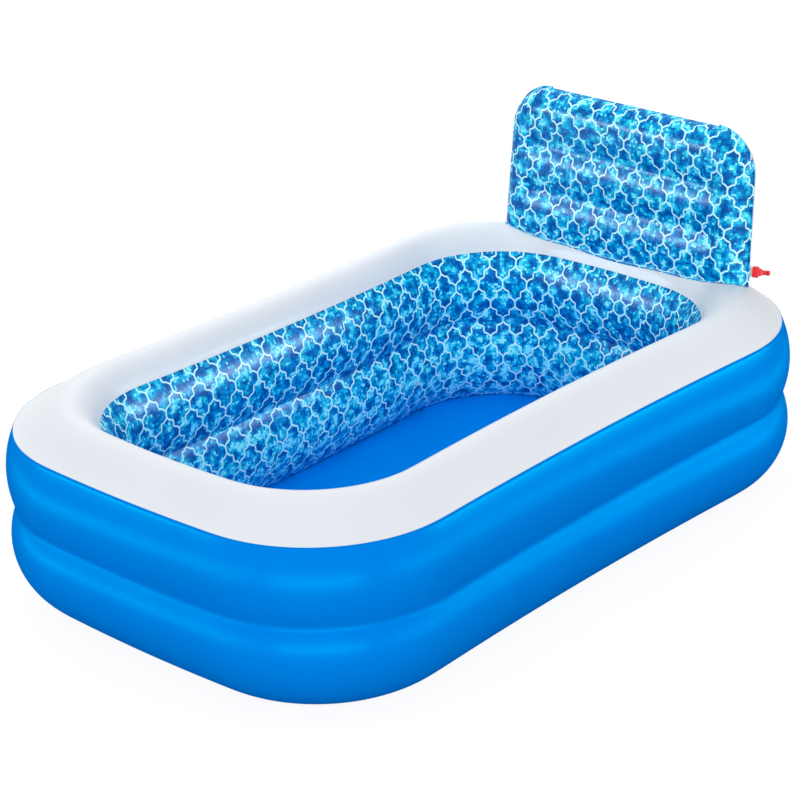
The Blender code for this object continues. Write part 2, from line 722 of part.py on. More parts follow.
def ribbed_ring(name, radius, bore, low, high, finish, parent):
    """The coupling nut's body: a ring with grip ribs, its end wall bored for the tail."""
    def build(bm):
        per_rib = 4
        bmesh.ops.create_circle(bm, cap_ends=True, segments=NUT_RIBS * per_rib, radius=radius)
        bm.verts.ensure_lookup_table()
        for index, vert in enumerate(bm.verts):
            if index % per_rib in (0, 1):
                vert.co *= (radius - NUT_RIB_DEPTH) / radius
            vert.co.z = low
        made = bmesh.ops.extrude_face_region(bm, geom=bm.faces[:])["geom"]
        raised = [item for item in made if isinstance(item, bmesh.types.BMVert)]
        bmesh.ops.translate(bm, vec=(0, 0, high - low), verts=raised)
        bmesh.ops.recalc_face_normals(bm, faces=bm.faces)
    obj = piece(name, mesh_from(name, build), finish, parent)
    cut(obj, rod(name + "_bore", bore, low - CUT_OVERRUN, high - NUT_END, INLET_SIDES, parent))
    return obj


def hose_inlet(panel, back_skin):
    """The boss welded on the panel's side roll, and the red connector on it."""
    turn = Vector((math.cos(INLET_TURN), math.sin(INLET_TURN), 0))
    half = panel_half_width(INLET_UP)[0]
    across = half - PANEL_ROLL * (1 - math.cos(INLET_TURN))
    stand = panel_depth(across, INLET_UP, PANEL_BACK_DEPTH) + SKIN_STAND
    place = panel.matrix_world @ Vector((across, stand, INLET_UP))
    outward = panel.matrix_world.to_3x3() @ turn
    place = place + outward * BOSS_STAND_OFF
    frame = seat("hose_inlet_seat", place, outward)
    face = BOSS_FLANGE_THICKNESS + CLEARANCE
    flange = SPIGOT_RADIUS + BOSS_FLANGE_WIDTH
    bore = SPIGOT_RADIUS - SPIGOT_WALL
    neck = SPIGOT_RADIUS - TAIL_NECK_STEP
    barb = SPRAY_TUBE_RADIUS * math.cos(math.pi / SPRAY_TUBE_SIDES) - SPRAY_TUBE_WALL - CLEARANCE
    barb_bore = barb - BARB_WALL
    turned("inlet_boss", [
        (bore, face + SPIGOT_LENGTH), (SPIGOT_RADIUS, face + SPIGOT_LENGTH), (SPIGOT_RADIUS, face),
        (flange, face), (flange, CLEARANCE), (SPIGOT_RADIUS, CLEARANCE),
        (SPIGOT_RADIUS, -SPIGOT_FLOOR), (barb, -SPIGOT_FLOOR), (barb, -SPIGOT_TAIL),
        (barb_bore, -SPIGOT_TAIL), (barb_bore, face), (bore, face),
    ], INLET_SIDES, ("white_plastic", WHITE), frame)
    cut(back_skin, rod("inlet_hole", SPIGOT_RADIUS + CLEARANCE, -SPIGOT_TAIL, BOSS_STAND_OFF + CUT_OVERRUN,
                       INLET_SIDES, frame))

    washer_low = face + SPIGOT_LENGTH + CLEARANCE
    washer_high = washer_low + WASHER_THICKNESS
    inside = SPIGOT_RADIUS + THREAD_ROOM
    turned("inlet_washer", [
        (bore, washer_high), (inside - CLEARANCE, washer_high), (inside - CLEARANCE, washer_low),
        (bore, washer_low),
    ], INLET_SIDES, ("black_rubber", BLACK), frame)

    collar_low = washer_high + CLEARANCE
    collar_high = collar_low + COLLAR_THICKNESS
    nut_high = collar_high + CLEARANCE + NUT_END
    nut_radius = inside + NUT_WALL + NUT_RIB_DEPTH
    nut = ribbed_ring("coupling_nut", nut_radius, inside, nut_high - NUT_LENGTH, nut_high,
                      ("red_plastic", RED), frame)
    cut(nut, rod("coupling_nut_mouth", neck + CLEARANCE, nut_high - NUT_END - CUT_OVERRUN,
                 nut_high + CUT_OVERRUN, INLET_SIDES, frame))

    cone_low = nut_high + CLEARANCE
    cone_high = cone_low + TAIL_CONE_LENGTH
    tip = cone_high + TAIL_TIP_LENGTH
    tip_radius = TAIL_BORE + TAIL_WALL
    groove_low = tip - TAIL_TIP_LENGTH / 2
    groove_high = groove_low + 2 * SEAL_WIRE
    groove = tip_radius - SEAL_WIRE
    turned("hose_tail", [
        (TAIL_BORE, tip), (tip_radius, tip), (tip_radius, groove_high), (groove, groove_high),
        (groove, groove_low), (tip_radius, groove_low), (tip_radius, cone_high),
        (SPIGOT_RADIUS, cone_low), (neck, cone_low), (neck, collar_high),
        (inside - CLEARANCE, collar_high), (inside - CLEARANCE, collar_low), (TAIL_BORE, collar_low),
    ], INLET_SIDES, ("red_plastic", RED), frame)
    ring = (groove_low + groove_high) / 2
    wire = SEAL_WIRE - CLEARANCE
    bpy.ops.mesh.primitive_torus_add(major_segments=INLET_SIDES, minor_segments=8,
                                     major_radius=groove + CLEARANCE + wire, minor_radius=wire)
    seal = bpy.context.active_object
    for group in list(seal.users_collection):
        group.objects.unlink(seal)
    mesh = seal.data
    bpy.data.objects.remove(seal, do_unlink=True)
    seal = piece("tail_seal", mesh, ("black_rubber", BLACK), frame)
    seal.location = (0, 0, ring)
    return frame


def spray_tube(panel, inlet):
    """The perforated tube inside the panel: off the boss's barb, up the side and along under the top seam."""
    run = PANEL_ROLL * panel_shares(ROLL_STEPS)[1]
    rise = PANEL_BACK_DEPTH * math.sqrt(1 - (1 - run / PANEL_ROLL) ** 2)
    inset = (SPRAY_TUBE_RADIUS + FILM + 3 * CLEARANCE) * math.hypot(run, rise) / rise
    to_panel = panel.matrix_world.inverted() @ inlet.matrix_world
    barb_root = to_panel @ Vector((0, 0, -SPIGOT_FLOOR - CLEARANCE))
    barb_end = to_panel @ Vector((0, 0, -SPIGOT_TAIL - CUT_OVERRUN))
    side = [up for up in panel_rows() if up >= INLET_UP + SPRAY_TUBE_RISE]
    seam = []
    for up in side:
        half, outward = panel_half_width(up)
        seam.append(Vector((half - outward.x * inset, 0, up - outward.y * inset)))
    leave = barb_end + (barb_end - barb_root).normalized() * SPRAY_TUBE_RISE / 2
    arrive = seam[0] - (seam[1] - seam[0]).normalized() * SPRAY_TUBE_RISE
    lead = [barb_root, barb_end]
    for step in range(1, SPRAY_TUBE_BEND_STEPS):
        share = step / SPRAY_TUBE_BEND_STEPS
        first = barb_end.lerp(leave, share).lerp(leave.lerp(arrive, share), share)
        second = leave.lerp(arrive, share).lerp(arrive.lerp(seam[0], share), share)
        lead.append(first.lerp(second, share))
    top = seam[-1]
    points = lead + seam + [Vector((-top.x, 0, top.z))]
    curve = bpy.data.curves.new("spray_tube", "CURVE")
    curve.dimensions = "3D"
    curve.bevel_depth = SPRAY_TUBE_RADIUS
    curve.bevel_resolution = (SPRAY_TUBE_SIDES - 4) // 2
    curve.use_fill_caps = False
    spline = curve.splines.new("POLY")
    spline.points.add(len(points) - 1)
    for point, place in zip(spline.points, points):
        point.co = (*place, 1)
    tube = bpy.data.objects.new("spray_tube", curve)
    collection(POOL_COLLECTION).objects.link(tube)
    tube.parent = panel
    tube = as_mesh(tube)
    tube.data.materials.append(material("clear_vinyl", CLEAR))
    bm = bmesh.new()
    bm.from_mesh(tube.data)
    far_end = [edge for edge in bm.edges if edge.is_boundary and edge.verts[0].co.x < 0]
    bmesh.ops.contextual_create(bm, geom=far_end)
    bmesh.ops.recalc_face_normals(bm, faces=bm.faces)
    bm.to_mesh(tube.data)
    bm.free()
    solidify(tube, SPRAY_TUBE_WALL)
    for index in range(SPRAY_TUBE_HOLES):
        across = top.x * (2 * (index + 1) / (SPRAY_TUBE_HOLES + 1) - 1)
        mark = bpy.data.objects.new("spray_hole_place_" + str(index + 1), None)
        collection(CUTTER_COLLECTION).objects.link(mark)
        mark.parent = panel
        mark.location = (across, 0, top.z)
        hole = rod("spray_hole_" + str(index + 1), SPRAY_TUBE_HOLE, 0, SPRAY_TUBE_RADIUS + CUT_OVERRUN,
                   SPRAY_HOLE_SIDES, mark)
        cut(tube, hole)
    return tube


def wall_seat(section, index, line, along):
    """The middle of one flat stretch of a section, on the -X side of the pool, and its outward direction."""
    low = line(section[index])
    high = line(section[index + 1])
    start = (CORNER_STEPS + 1) * 2 + (END_STEPS - 1)
    for place in range(start - 1, start + SIDE_STEPS):
        if low[place].y >= along >= low[place + 1].y:
            break
    share = (low[place].y - along) / (low[place].y - low[place + 1].y)
    bottom = low[place].lerp(low[place + 1], share)
    top = high[place].lerp(high[place + 1], share)
    outward = (low[place + 1] - low[place]).cross(high[place] - low[place]).normalized()
    return (bottom + top) / 2, outward


def build():
    clear_scene()
    wall = outer_wall()
    inner_wall()
    lines = top_lines()
    sheet("top_sheet", lines, ("white_film", WHITE))
    divider()
    floor = floor_sheet()
    ground = under_top_sheet(lines)

    panel = bpy.data.objects.new("panel_frame", None)
    collection(POOL_COLLECTION).objects.link(panel)
    panel.location = (0, OPENING_HALF_LENGTH + END_BOW + PANEL_SEAM_BACK, PANEL_FOOT_HEIGHT)
    panel.rotation_euler = (-PANEL_LEAN, 0, 0)
    bpy.context.view_layer.update()
    panel_skin("panel_front_skin", PANEL_FRONT_DEPTH, -1, ("printed_film", PRINT), panel, ground)
    back = panel_skin("panel_back_skin", PANEL_BACK_DEPTH, 1, ("white_film", WHITE), panel, ground)
    panel_web("panel_web_lower", LOWER_GROOVE_HEIGHT, panel)
    panel_web("panel_web_upper", UPPER_GROOVE_HEIGHT, panel)

    place, outward = wall_seat(OUTER_SECTION, LOWER_WALL_STEPS // 2, outer_line, LOWER_VALVE_Y)
    valve("lower_ring_valve", place, outward, wall)
    upper_middle = LOWER_WALL_STEPS + UPPER_WALL_STEPS // 2
    place, outward = wall_seat(OUTER_SECTION, upper_middle, outer_line, UPPER_VALVE_Y)
    valve("upper_ring_valve", place, outward, wall)
    place, outward = panel_flat(PANEL_VALVE_ACROSS, PANEL_VALVE_UP, PANEL_BACK_DEPTH)
    valve("panel_valve", panel.matrix_world @ place, panel.matrix_world.to_3x3() @ outward, back)
    drain(floor)
    inlet = hose_inlet(panel, back)
    bpy.context.view_layer.update()
    spray_tube(panel, inlet)


build()
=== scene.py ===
# %% [markdown]
# An inflatable family pool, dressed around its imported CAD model.
# The pool is made of thin vinyl films that are welded along their edges and blown up: a blue outer
# wall and a printed inner wall with a crease half way up, a white top sheet, a flat floor film, and
# a printed backrest panel with a hose inlet at its side. Each film is one mesh of level lines, so
# that the print can follow it as it does on the real thing: flat when printed, bent when inflated.

import json
import math

import bmesh
import bpy
from mathutils import Matrix, Vector
from mathutils.bvhtree import BVHTree


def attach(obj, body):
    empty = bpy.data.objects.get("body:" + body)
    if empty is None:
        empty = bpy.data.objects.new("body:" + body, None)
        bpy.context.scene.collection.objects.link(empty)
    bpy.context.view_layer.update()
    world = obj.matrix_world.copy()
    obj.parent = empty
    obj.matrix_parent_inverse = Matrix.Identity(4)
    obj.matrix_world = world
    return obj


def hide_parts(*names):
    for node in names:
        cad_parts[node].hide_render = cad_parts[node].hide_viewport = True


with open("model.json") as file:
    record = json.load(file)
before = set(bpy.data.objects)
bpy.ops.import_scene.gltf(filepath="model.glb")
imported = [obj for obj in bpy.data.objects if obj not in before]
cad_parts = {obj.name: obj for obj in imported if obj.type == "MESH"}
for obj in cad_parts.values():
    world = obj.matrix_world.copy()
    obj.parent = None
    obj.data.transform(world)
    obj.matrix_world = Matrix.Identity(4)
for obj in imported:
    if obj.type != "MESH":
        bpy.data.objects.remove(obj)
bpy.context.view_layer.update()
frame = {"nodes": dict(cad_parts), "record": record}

# %% [markdown]
# The sizes are the CAD model's, in metres. An "out" is measured away from the middle of the pool,
# from the seam above, and a bulge is how far a film swells from the straight line between its welds.

# %% Sizes of the rings
MM = 0.001
FILM = 0.3 * MM
GAP = 0.3 * MM
WELD_LAP = 8 * MM
WELD_INSIDE = FILM + GAP
SEAM = {"half_width": 0.733, "half_length": 1.169, "corner": 0.431}
OPENING = {"half_width": 0.518, "half_length": 0.968, "corner": 0.325}
SIDE_BOW = -0.018
END_BOW = 0.008
SEAM_HEIGHT = 0.521
CREASE_HEIGHT = 0.285
OPENING_HEIGHT = 0.529
FLOOR_TOP = FILM + GAP
OUTER_CREASE_OUT = 0.005
FOOT_OUT = -0.101
INNER_CREASE_OUT = -0.016
FLOOR_LINE_OUT = 0.029
OUTER_LOWER_BULGE = 0.069
OUTER_UPPER_BULGE = 0.026
INNER_UPPER_BULGE = 0.039
INNER_LOWER_BULGE = 0.049
CROWN = 0.075
CROWN_LEAN_SHARE = 1.585
CROWN_FULLNESS_SHARE = 0.85
PANEL_END_FULLNESS_SHARE = 0.52
DIP = {"depth": 0.023, "across": 0.358, "along": 0.964, "half_width": 0.123, "half_length": 0.079}

# %% [markdown]
# A weld is stiff and straight across, and the air pushes the film between two welds into a round arc.
# So the section of each ring is drawn with arcs, finer than in the CAD model, whose facets would show.


# %% Sections
def arc(start, end, bulge, steps):
    """Points of a round arc from start to end that swells by bulge to the right of its travel."""
    start = Vector(start)
    end = Vector(end)
    chord = end - start
    right = Vector((chord.y, -chord.x)).normalized()
    radius = (chord.length ** 2 / 4 + bulge ** 2) / (2 * bulge)
    half_angle = 2 * math.atan2(2 * bulge, chord.length)
    middle = (start + end) / 2 + right * (bulge - radius)
    points = []
    for step in range(steps + 1):
        angle = half_angle * (2 * step / steps - 1)
        along = chord.normalized() * radius * math.sin(angle)
        points.append(middle + along + right * radius * math.cos(angle))
    return points


OUTER_LOWER = arc((FOOT_OUT, FLOOR_TOP), (OUTER_CREASE_OUT, CREASE_HEIGHT), OUTER_LOWER_BULGE, 26)
OUTER_UPPER = arc((OUTER_CREASE_OUT, CREASE_HEIGHT), (0, SEAM_HEIGHT), OUTER_UPPER_BULGE, 20)
INNER_UPPER = arc((0, OPENING_HEIGHT), (INNER_CREASE_OUT, CREASE_HEIGHT), INNER_UPPER_BULGE, 20)
INNER_LOWER = arc((INNER_CREASE_OUT, CREASE_HEIGHT), (FLOOR_LINE_OUT, FLOOR_TOP), INNER_LOWER_BULGE, 24)
outer_section = OUTER_LOWER + OUTER_UPPER[1:]
inner_section = INNER_UPPER + INNER_LOWER[1:]
print("section points:", len(outer_section), "outside and", len(inner_section), "inside")

# %% [markdown]
# Seen from above the pool is a rounded rectangle. The air pulls its long sides in a little and pushes
# its ends out, so the straight runs are shallow bows. A few passes of averaging take away the slight
# corner where a bow meets the round of a corner.

# %% Level lines
CORNER_STEPS = 36
SIDE_STEPS = 56
END_STEPS = 28
SMOOTHING_PASSES = 6


def level_line(plan, out, height):
    """The closed line of points at one height, out metres outside the plan's own line."""
    corner = plan["corner"]
    radius = corner + out
    points = []
    for quarter in range(4):
        centre_x = (plan["half_width"] - corner) * (1 if quarter in (0, 3) else -1)
        centre_y = (plan["half_length"] - corner) * (1 if quarter in (0, 1) else -1)
        for step in range(CORNER_STEPS + 1):
            angle = math.pi / 2 * (quarter + step / CORNER_STEPS)
            reach = Vector((math.cos(angle), math.sin(angle), 0)) * radius
            points.append(Vector((centre_x, centre_y, height)) + reach)
        on_end = quarter % 2 == 0
        steps = END_STEPS if on_end else SIDE_STEPS
        bow = END_BOW if on_end else SIDE_BOW
        half = plan["half_width"] if on_end else plan["half_length"]
        face = math.pi / 2 * (quarter + 1)
        outward = Vector((math.cos(face), math.sin(face), 0))
        run = Vector((-outward.y, outward.x, 0)) * 2 * (half - corner)
        start = points[-1].copy()
        for step in range(1, steps):
            share = step / steps
            points.append(start + run * share + outward * bow * 4 * share * (1 - share))
    count = len(points)
    for _ in range(SMOOTHING_PASSES):
        points = [(points[i - 1] + points[i] * 2 + points[(i + 1) % count]) / 4 for i in range(count)]
    return points


def outer_line(point):
    """The line that a point of the outer section draws round the pool."""
    return level_line(SEAM, point[0], point[1])


def inner_line(point):
    """The line that a point of the inner section draws round the opening."""
    return level_line(OPENING, point[0], point[1])


print("points in a level line:", len(outer_line((0, 0))))

# %% [markdown]
# A band of film is skinned through its level lines. Its UV map holds real metres: along the pool's
# girth, and down the film from its upper weld. A print that is drawn in those metres keeps its scale
# on the whole film, whatever the film's shape.


# %% Films
SHARP_ANGLE = math.radians(50)


def linked_piece(name, bm):
    """A bmesh as a new object in the scene, shaded smooth."""
    mesh = bpy.data.meshes.new(name)
    bm.to_mesh(mesh)
    bm.free()
    mesh.shade_smooth()
    obj = bpy.data.objects.new(name, mesh)
    bpy.context.scene.collection.objects.link(obj)
    return obj


def film_piece(name, bm, offset=-1.0):
    """A film with its gauge and its real corners, which rides on the pool's body."""
    obj = linked_piece(name, bm)
    obj.data.set_sharp_from_angle(angle=SHARP_ANGLE)
    shell = obj.modifiers.new("film", "SOLIDIFY")
    shell.thickness = FILM
    shell.offset = offset
    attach(obj, "pool")
    return obj


def running_lengths(points):
    """How far along a line of points each point is."""
    lengths = [0.0]
    for first, second in zip(points, points[1:]):
        lengths.append(lengths[-1] + (second - first).length)
    return lengths


def band(name, lines, pull=None, over=None):
    """A closed band through level lines, with UVs in metres.

    pull gives how much closer the print lies at a place. over is the share of a repeat that is left at
    the joint where the band closes, which is its first point.
    """
    count = len(lines[0])
    middle = lines[len(lines) // 2]
    around = [0.0]
    for index in range(count):
        first, second = middle[index], middle[(index + 1) % count]
        closer = pull((first + second) / 2) if pull else 1
        around.append(around[-1] + (second - first).length * closer)
    if over is not None:
        repeats = round(around[-1] / REPEAT_WIDTH - over) + over
        around = [value * repeats * REPEAT_WIDTH / around[-1] for value in around]
    down = running_lengths([line[0] for line in lines])
    bm = bmesh.new()
    uv = bm.loops.layers.uv.new("metres")
    rows = [[bm.verts.new(point) for point in line] for line in lines]
    for row in range(len(rows) - 1):
        for index in range(count):
            after = (index + 1) % count
            corners = ((row, index, index), (row, after, index + 1),
                       (row + 1, after, index + 1), (row + 1, index, index))
            face = bm.faces.new([rows[r][i] for r, i, _ in corners])
            for loop, (r, _, place) in zip(face.loops, corners):
                loop[uv].uv = (around[place], down[r])
    return film_piece(name, bm)


# %% [markdown]
# The inner wall is one printed strip that is closed by a joint on the rear wall, left of the middle of
# the panel, where the pattern doesn't match up. It is gathered a little round the corners, so the print
# lies closer there. The feet of both walls turn under onto the floor film.

# %% Walls
REPEAT_WIDTH = 0.0934
JOINT_ACROSS = 0.065
JOINT_REMAINDER = 0.53
CORNER_GATHER = 1.12
END_GATHER = 1.07
END_GATHER_HALF_WIDTH = JOINT_ACROSS * 3


def gather(point):
    """How much closer the print lies on the ends and round the corners than on the long walls."""
    if abs(point.y) < SEAM["half_length"] - SEAM["corner"]:
        return 1.0
    return END_GATHER if abs(point.x) < END_GATHER_HALF_WIDTH else CORNER_GATHER


def from_joint(line):
    """The same closed line, begun at the print's joint on the rear wall."""
    rear = [index for index, point in enumerate(line) if point.y > 0]
    first = min(rear, key=lambda index: abs(line[index].x - JOINT_ACROSS))
    return line[first:] + line[:first]


foot_tab = Vector((FOOT_OUT - WELD_LAP, FLOOR_TOP))
outer_lines = [outer_line(point) for point in [foot_tab] + outer_section]
outer_wall = band("outer_wall_film", outer_lines)
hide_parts("outer_wall_sheet")

floor_tab = Vector((FLOOR_LINE_OUT + WELD_LAP, FLOOR_TOP))
inner_lines = [from_joint(inner_line(point)) for point in inner_section + [floor_tab]]
inner_wall = band("inner_wall_film", inner_lines, gather, JOINT_REMAINDER)
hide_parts("inner_wall_sheet")
print("walls:", len(outer_wall.data.polygons), "and", len(inner_wall.data.polygons), "faces")

# %% [markdown]
# The white top sheet spans from the outer seam to the opening. Its crown is not a plain arch: it is
# highest near the opening and drops steeply to it, as in the photograph. Its edges are tucked inside
# the walls' edges, where the films are welded.

# %% Top sheet
TOP_STEPS = 40


def crown(share, seam_along):
    """Height over the straight line between the seams; fuller where the panel's foot holds the film up."""
    at_panel = min(max((seam_along - SEAM["half_length"]) / SEAM["corner"] + 1, 0), 1)
    fullness = CROWN_FULLNESS_SHARE + (PANEL_END_FULLNESS_SHARE - CROWN_FULLNESS_SHARE) * at_panel
    return CROWN * math.sin(math.pi * share ** CROWN_LEAN_SHARE) ** fullness


def dip(point):
    """How far the ends of the panel's foot draw the film down."""
    beside = (abs(point.x) - DIP["across"]) / DIP["half_width"]
    along = (point.y - DIP["along"]) / DIP["half_length"]
    return DIP["depth"] * math.exp(-beside ** 2 - along ** 2)


def tucked(section, index):
    """Two points inside a section's end: down its film by a lap, and at its end."""
    end = section[index]
    before = section[index - 1] if index else section[1]
    last = (end - before).normalized()
    right = Vector((last.y, -last.x)) * (1 if index else -1)
    inside = end - right * WELD_INSIDE
    return inside - last * WELD_LAP, inside


outer_tuck, outer_end = tucked(outer_section, len(outer_section) - 1)
inner_tuck, inner_end = tucked(inner_section, 0)
outer_edge = outer_line(outer_end)
inner_edge = inner_line(inner_end)
top_lines = [outer_line(outer_tuck), outer_edge]
for step in range(1, TOP_STEPS):
    share = step / TOP_STEPS
    line = [a.lerp(b, share) for a, b in zip(outer_edge, inner_edge)]
    for point, seam in zip(line, outer_edge):
        point.z += crown(share, seam.y) - dip(point)
    top_lines.append(line)
top_lines += [inner_edge, inner_line(inner_tuck)]
top_film = band("top_film", top_lines)
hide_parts("top_sheet")
print("crown:", round(max(point.z for line in top_lines for point in line), 4), "m")

# %% [markdown]
# The floor is one flat film. Its mesh is a fan of rings inside its edge, so that a bump or a wrinkle
# has something to bend.

# %% Floor film
FLOOR_RINGS = 14


def floor_film():
    """Rings of faces from the pool's foot to a point in the middle."""
    edge = outer_line((FOOT_OUT, 0))
    centre = Vector((0, 0, 0))
    bm = bmesh.new()
    uv = bm.loops.layers.uv.new("metres")
    rings = []
    for ring in range(FLOOR_RINGS):
        share = 1 - ring / FLOOR_RINGS
        rings.append([bm.verts.new(centre.lerp(point, share)) for point in edge])
    heart = bm.verts.new(centre)
    count = len(edge)
    for first, second in zip(rings, rings[1:]):
        for index in range(count):
            after = (index + 1) % count
            bm.faces.new((first[index], first[after], second[after], second[index]))
    for index in range(count):
        bm.faces.new((rings[-1][index], rings[-1][(index + 1) % count], heart))
    for face in bm.faces:
        for loop in face.loops:
            loop[uv].uv = loop.vert.co.xy
    return film_piece("floor_film", bm, 1.0)


floor = floor_film()
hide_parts("floor_sheet")
print("floor:", len(floor.data.polygons), "faces")

# %% [markdown]
# The film between the two rings can't be seen from outside, but it is what draws the crease in.

# %% Divider
DIVIDER_STEPS = 8


def inset(section, index, distance):
    """A point of a section moved inside, square to the film there."""
    before = (section[index] - section[index - 1]).normalized()
    after = (section[index + 1] - section[index]).normalized()
    first = Vector((before.y, -before.x))
    both = (first + Vector((after.y, -after.x))).normalized()
    return section[index] - both * distance / both.dot(first)


outer_crease = inset(outer_section, len(OUTER_LOWER) - 1, WELD_INSIDE)
inner_crease = inset(inner_section, len(INNER_UPPER) - 1, WELD_INSIDE)
outer_down = (OUTER_LOWER[-2] - OUTER_LOWER[-1]).normalized() * WELD_LAP
inner_down = (INNER_LOWER[1] - INNER_LOWER[0]).normalized() * WELD_LAP
outer_side = outer_line(outer_crease)
inner_side = inner_line(inner_crease)
divider_lines = [outer_line(outer_crease + outer_down), outer_side]
for step in range(1, DIVIDER_STEPS):
    share = step / DIVIDER_STEPS
    divider_lines.append([a.lerp(b, share) for a, b in zip(outer_side, inner_side)])
divider_lines += [inner_side, inner_line(inner_crease + inner_down)]
divider = band("divider_film", divider_lines)
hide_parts("chamber_divider")
print("divider:", len(divider.data.polygons), "faces")

# %% [markdown]
# The backrest panel is two skins that are welded round their rim and drawn together by two flat webs,
# which make its grooves. Both skins are one height field over the rim's outline. The seam of a blown
# up film gathers, because the film has to shorten along the rim as it swells, so small puckers run in
# from the weld and fade out.

# %% Panel form
PANEL_HALF_WIDTH = 0.478
PANEL_HEIGHT = 0.480
PANEL_TAPER = 0.014
PANEL_CORNER = 0.135
PANEL_FRONT_DEPTH = 0.066
PANEL_BACK_DEPTH = 0.060
PANEL_ROLL = 0.075
PANEL_FLANGE = 7 * MM
PANEL_CREST = 1.5 * MM
GROOVE_HEIGHTS = (0.148, 0.303)
GROOVE_HALF_LENGTH = 0.345
GROOVE_DEPTH = 0.026
GROOVE_REACH = 0.077
GROOVE_SOFTNESS = 16 * MM
FOOT_DRAW = 0.009
PANEL_SINK = 0.060
SKIN_STAND = FILM + GAP / 2
PUCKER_PITCH = 0.021
PUCKER_HEIGHT = 1.9 * MM
PUCKER_REACH = 0.045
PUCKER_RISE = 8 * MM
PANEL_PLACE = (0, 1.046, 0.575)
PANEL_LEAN = math.radians(-5)
panel_frame = Matrix.Translation(PANEL_PLACE) @ Matrix.Rotation(PANEL_LEAN, 4, "X")


def panel_half_width(up):
    """Half the width at a height, and the outline's outward direction there."""
    half = PANEL_HALF_WIDTH - PANEL_TAPER * up / PANEL_HEIGHT
    rise = up - (PANEL_HEIGHT - PANEL_CORNER)
    if rise <= 0:
        return half, Vector((1, 0))
    run = math.sqrt(max(PANEL_CORNER ** 2 - rise ** 2, 0))
    return half - PANEL_CORNER + run, Vector((run, rise)).normalized()


def rim_distance(across, up):
    """How far inside the rim a point of the panel is."""
    half = PANEL_HALF_WIDTH - PANEL_TAPER * up / PANEL_HEIGHT
    beside = abs(across) - (half - PANEL_CORNER)
    above = up - (PANEL_HEIGHT - PANEL_CORNER)
    if beside > 0 and above > 0:
        return PANEL_CORNER - math.hypot(beside, above)
    return PANEL_CORNER - max(beside, above)


def panel_depth(across, up, depth):
    """How far a skin stands off the seam's plane: full inside the roll, drawn in along the grooves."""
    inside = min(max(rim_distance(across, up), 0) / PANEL_ROLL, 1)
    full = depth * math.sqrt(1 - (1 - inside) ** 2)
    drawn = FOOT_DRAW * max(1 - max(up, 0) / GROOVE_REACH, 0) ** 2
    for groove in GROOVE_HEIGHTS:
        past = max(abs(across) - GROOVE_HALF_LENGTH, 0)
        near = 1 - math.sqrt((up - groove) ** 2 + past ** 2 + GROOVE_SOFTNESS ** 2) / GROOVE_REACH
        drawn += GROOVE_DEPTH * max(near, 0) ** 2
    return full - drawn * inside


def rim_place(across, up):
    """How far along the rim a point is, from the foot over the top."""
    half = PANEL_HALF_WIDTH - PANEL_CORNER
    top = PANEL_HEIGHT - PANEL_CORNER
    side = 1 if across > 0 else -1
    if up < top:
        return side * (half + PANEL_CORNER * math.pi / 2 + top - up)
    beside = abs(across) - half
    if beside < 0:
        return across
    return side * (half + PANEL_CORNER * math.atan2(beside, up - top))


def pucker(across, up):
    """Small folds that run in from the welded rim and fade out."""
    distance = max(rim_distance(across, up), 0)
    fade = max(1 - distance / PUCKER_REACH, 0) ** 2
    rise = min(distance / PUCKER_RISE, 1)
    place = rim_place(across, up)
    wander = math.sin(place * 31) * 0.35 + math.sin(place * 12.7 + 1) * 0.5
    wave = math.sin(place / PUCKER_PITCH * 2 * math.pi + wander * 4)
    strength = 0.5 + 0.5 * math.sin(place * 9.3 + 0.7)
    return PUCKER_HEIGHT * fade * rise * wave * strength


# %% [markdown]
# The skin's grid follows the rim: rows across, each from rim to rim, with close rows near the rim and
# the grooves. A row's ends carry the flat weld flange. The print's metres run along the film, across
# from the middle and up from the foot, so that its rows close up where the film dives into a groove.

# %% Panel skins
COLUMNS = 150
ROLL_COLUMNS = 22
LOWER_ROWS = 74
TOP_ROWS = 26
TOP_ROLL = PANEL_ROLL * 1.3
TRIM_BELOW = 0.66
TRIM_STAND = 1.5 * MM
RAY_START = 2.0
top_tree = BVHTree.FromObject(top_film, bpy.context.evaluated_depsgraph_get())


def column_places(half):
    """Places across a row from rim to rim, close together in the rolls."""
    shares = [1 - math.cos(math.pi / 2 * step / ROLL_COLUMNS) for step in range(ROLL_COLUMNS + 1)]
    roll = [half - PANEL_ROLL * share for share in shares]
    inner = COLUMNS - 2 * ROLL_COLUMNS
    middle = [roll[-1] * (1 - 2 * step / inner) for step in range(1, inner)]
    return roll + middle + [-value for value in reversed(roll)]


def row_places():
    """Heights of the rows, from the sunken foot to the top of the rim."""
    rows = [-PANEL_SINK, -PANEL_SINK / 2]
    rows += [(PANEL_HEIGHT - TOP_ROLL) * step / LOWER_ROWS for step in range(LOWER_ROWS)]
    for step in range(TOP_ROWS + 1):
        rows.append(PANEL_HEIGHT - TOP_ROLL * (1 - math.sin(math.pi / 2 * step / TOP_ROWS)))
    return rows


def top_surface_at(across, along):
    """The top film's upper side, for trimming the panel's foot."""
    hit = top_tree.ray_cast(Vector((across, along, RAY_START)), Vector((0, 0, -1)))
    return hit[0].z if hit[0] else OPENING_HEIGHT


def skin_grid(depth, sign):
    """A skin's rows of points in the panel's frame, with a flange at their ends and a crest on top."""
    grid = []
    for up in row_places():
        half, outward = panel_half_width(up)
        row = [Vector((x, sign * (panel_depth(x, up, depth) + SKIN_STAND + pucker(x, up)), up))
               for x in column_places(half)]
        rim = row[0] + Vector((outward.x, 0, outward.y)) * PANEL_FLANGE
        grid.append([rim] + row + [Vector((-rim.x, rim.y, rim.z))])
    last = grid[-1]
    crest = [point + Vector((0, 0, PANEL_CREST)) for point in last]
    crest[0] = last[0]
    crest[1] = last[0].lerp(crest[2], 0.5)
    crest[-1] = last[-1]
    crest[-2] = last[-1].lerp(crest[-3], 0.5)
    return grid + [crest]


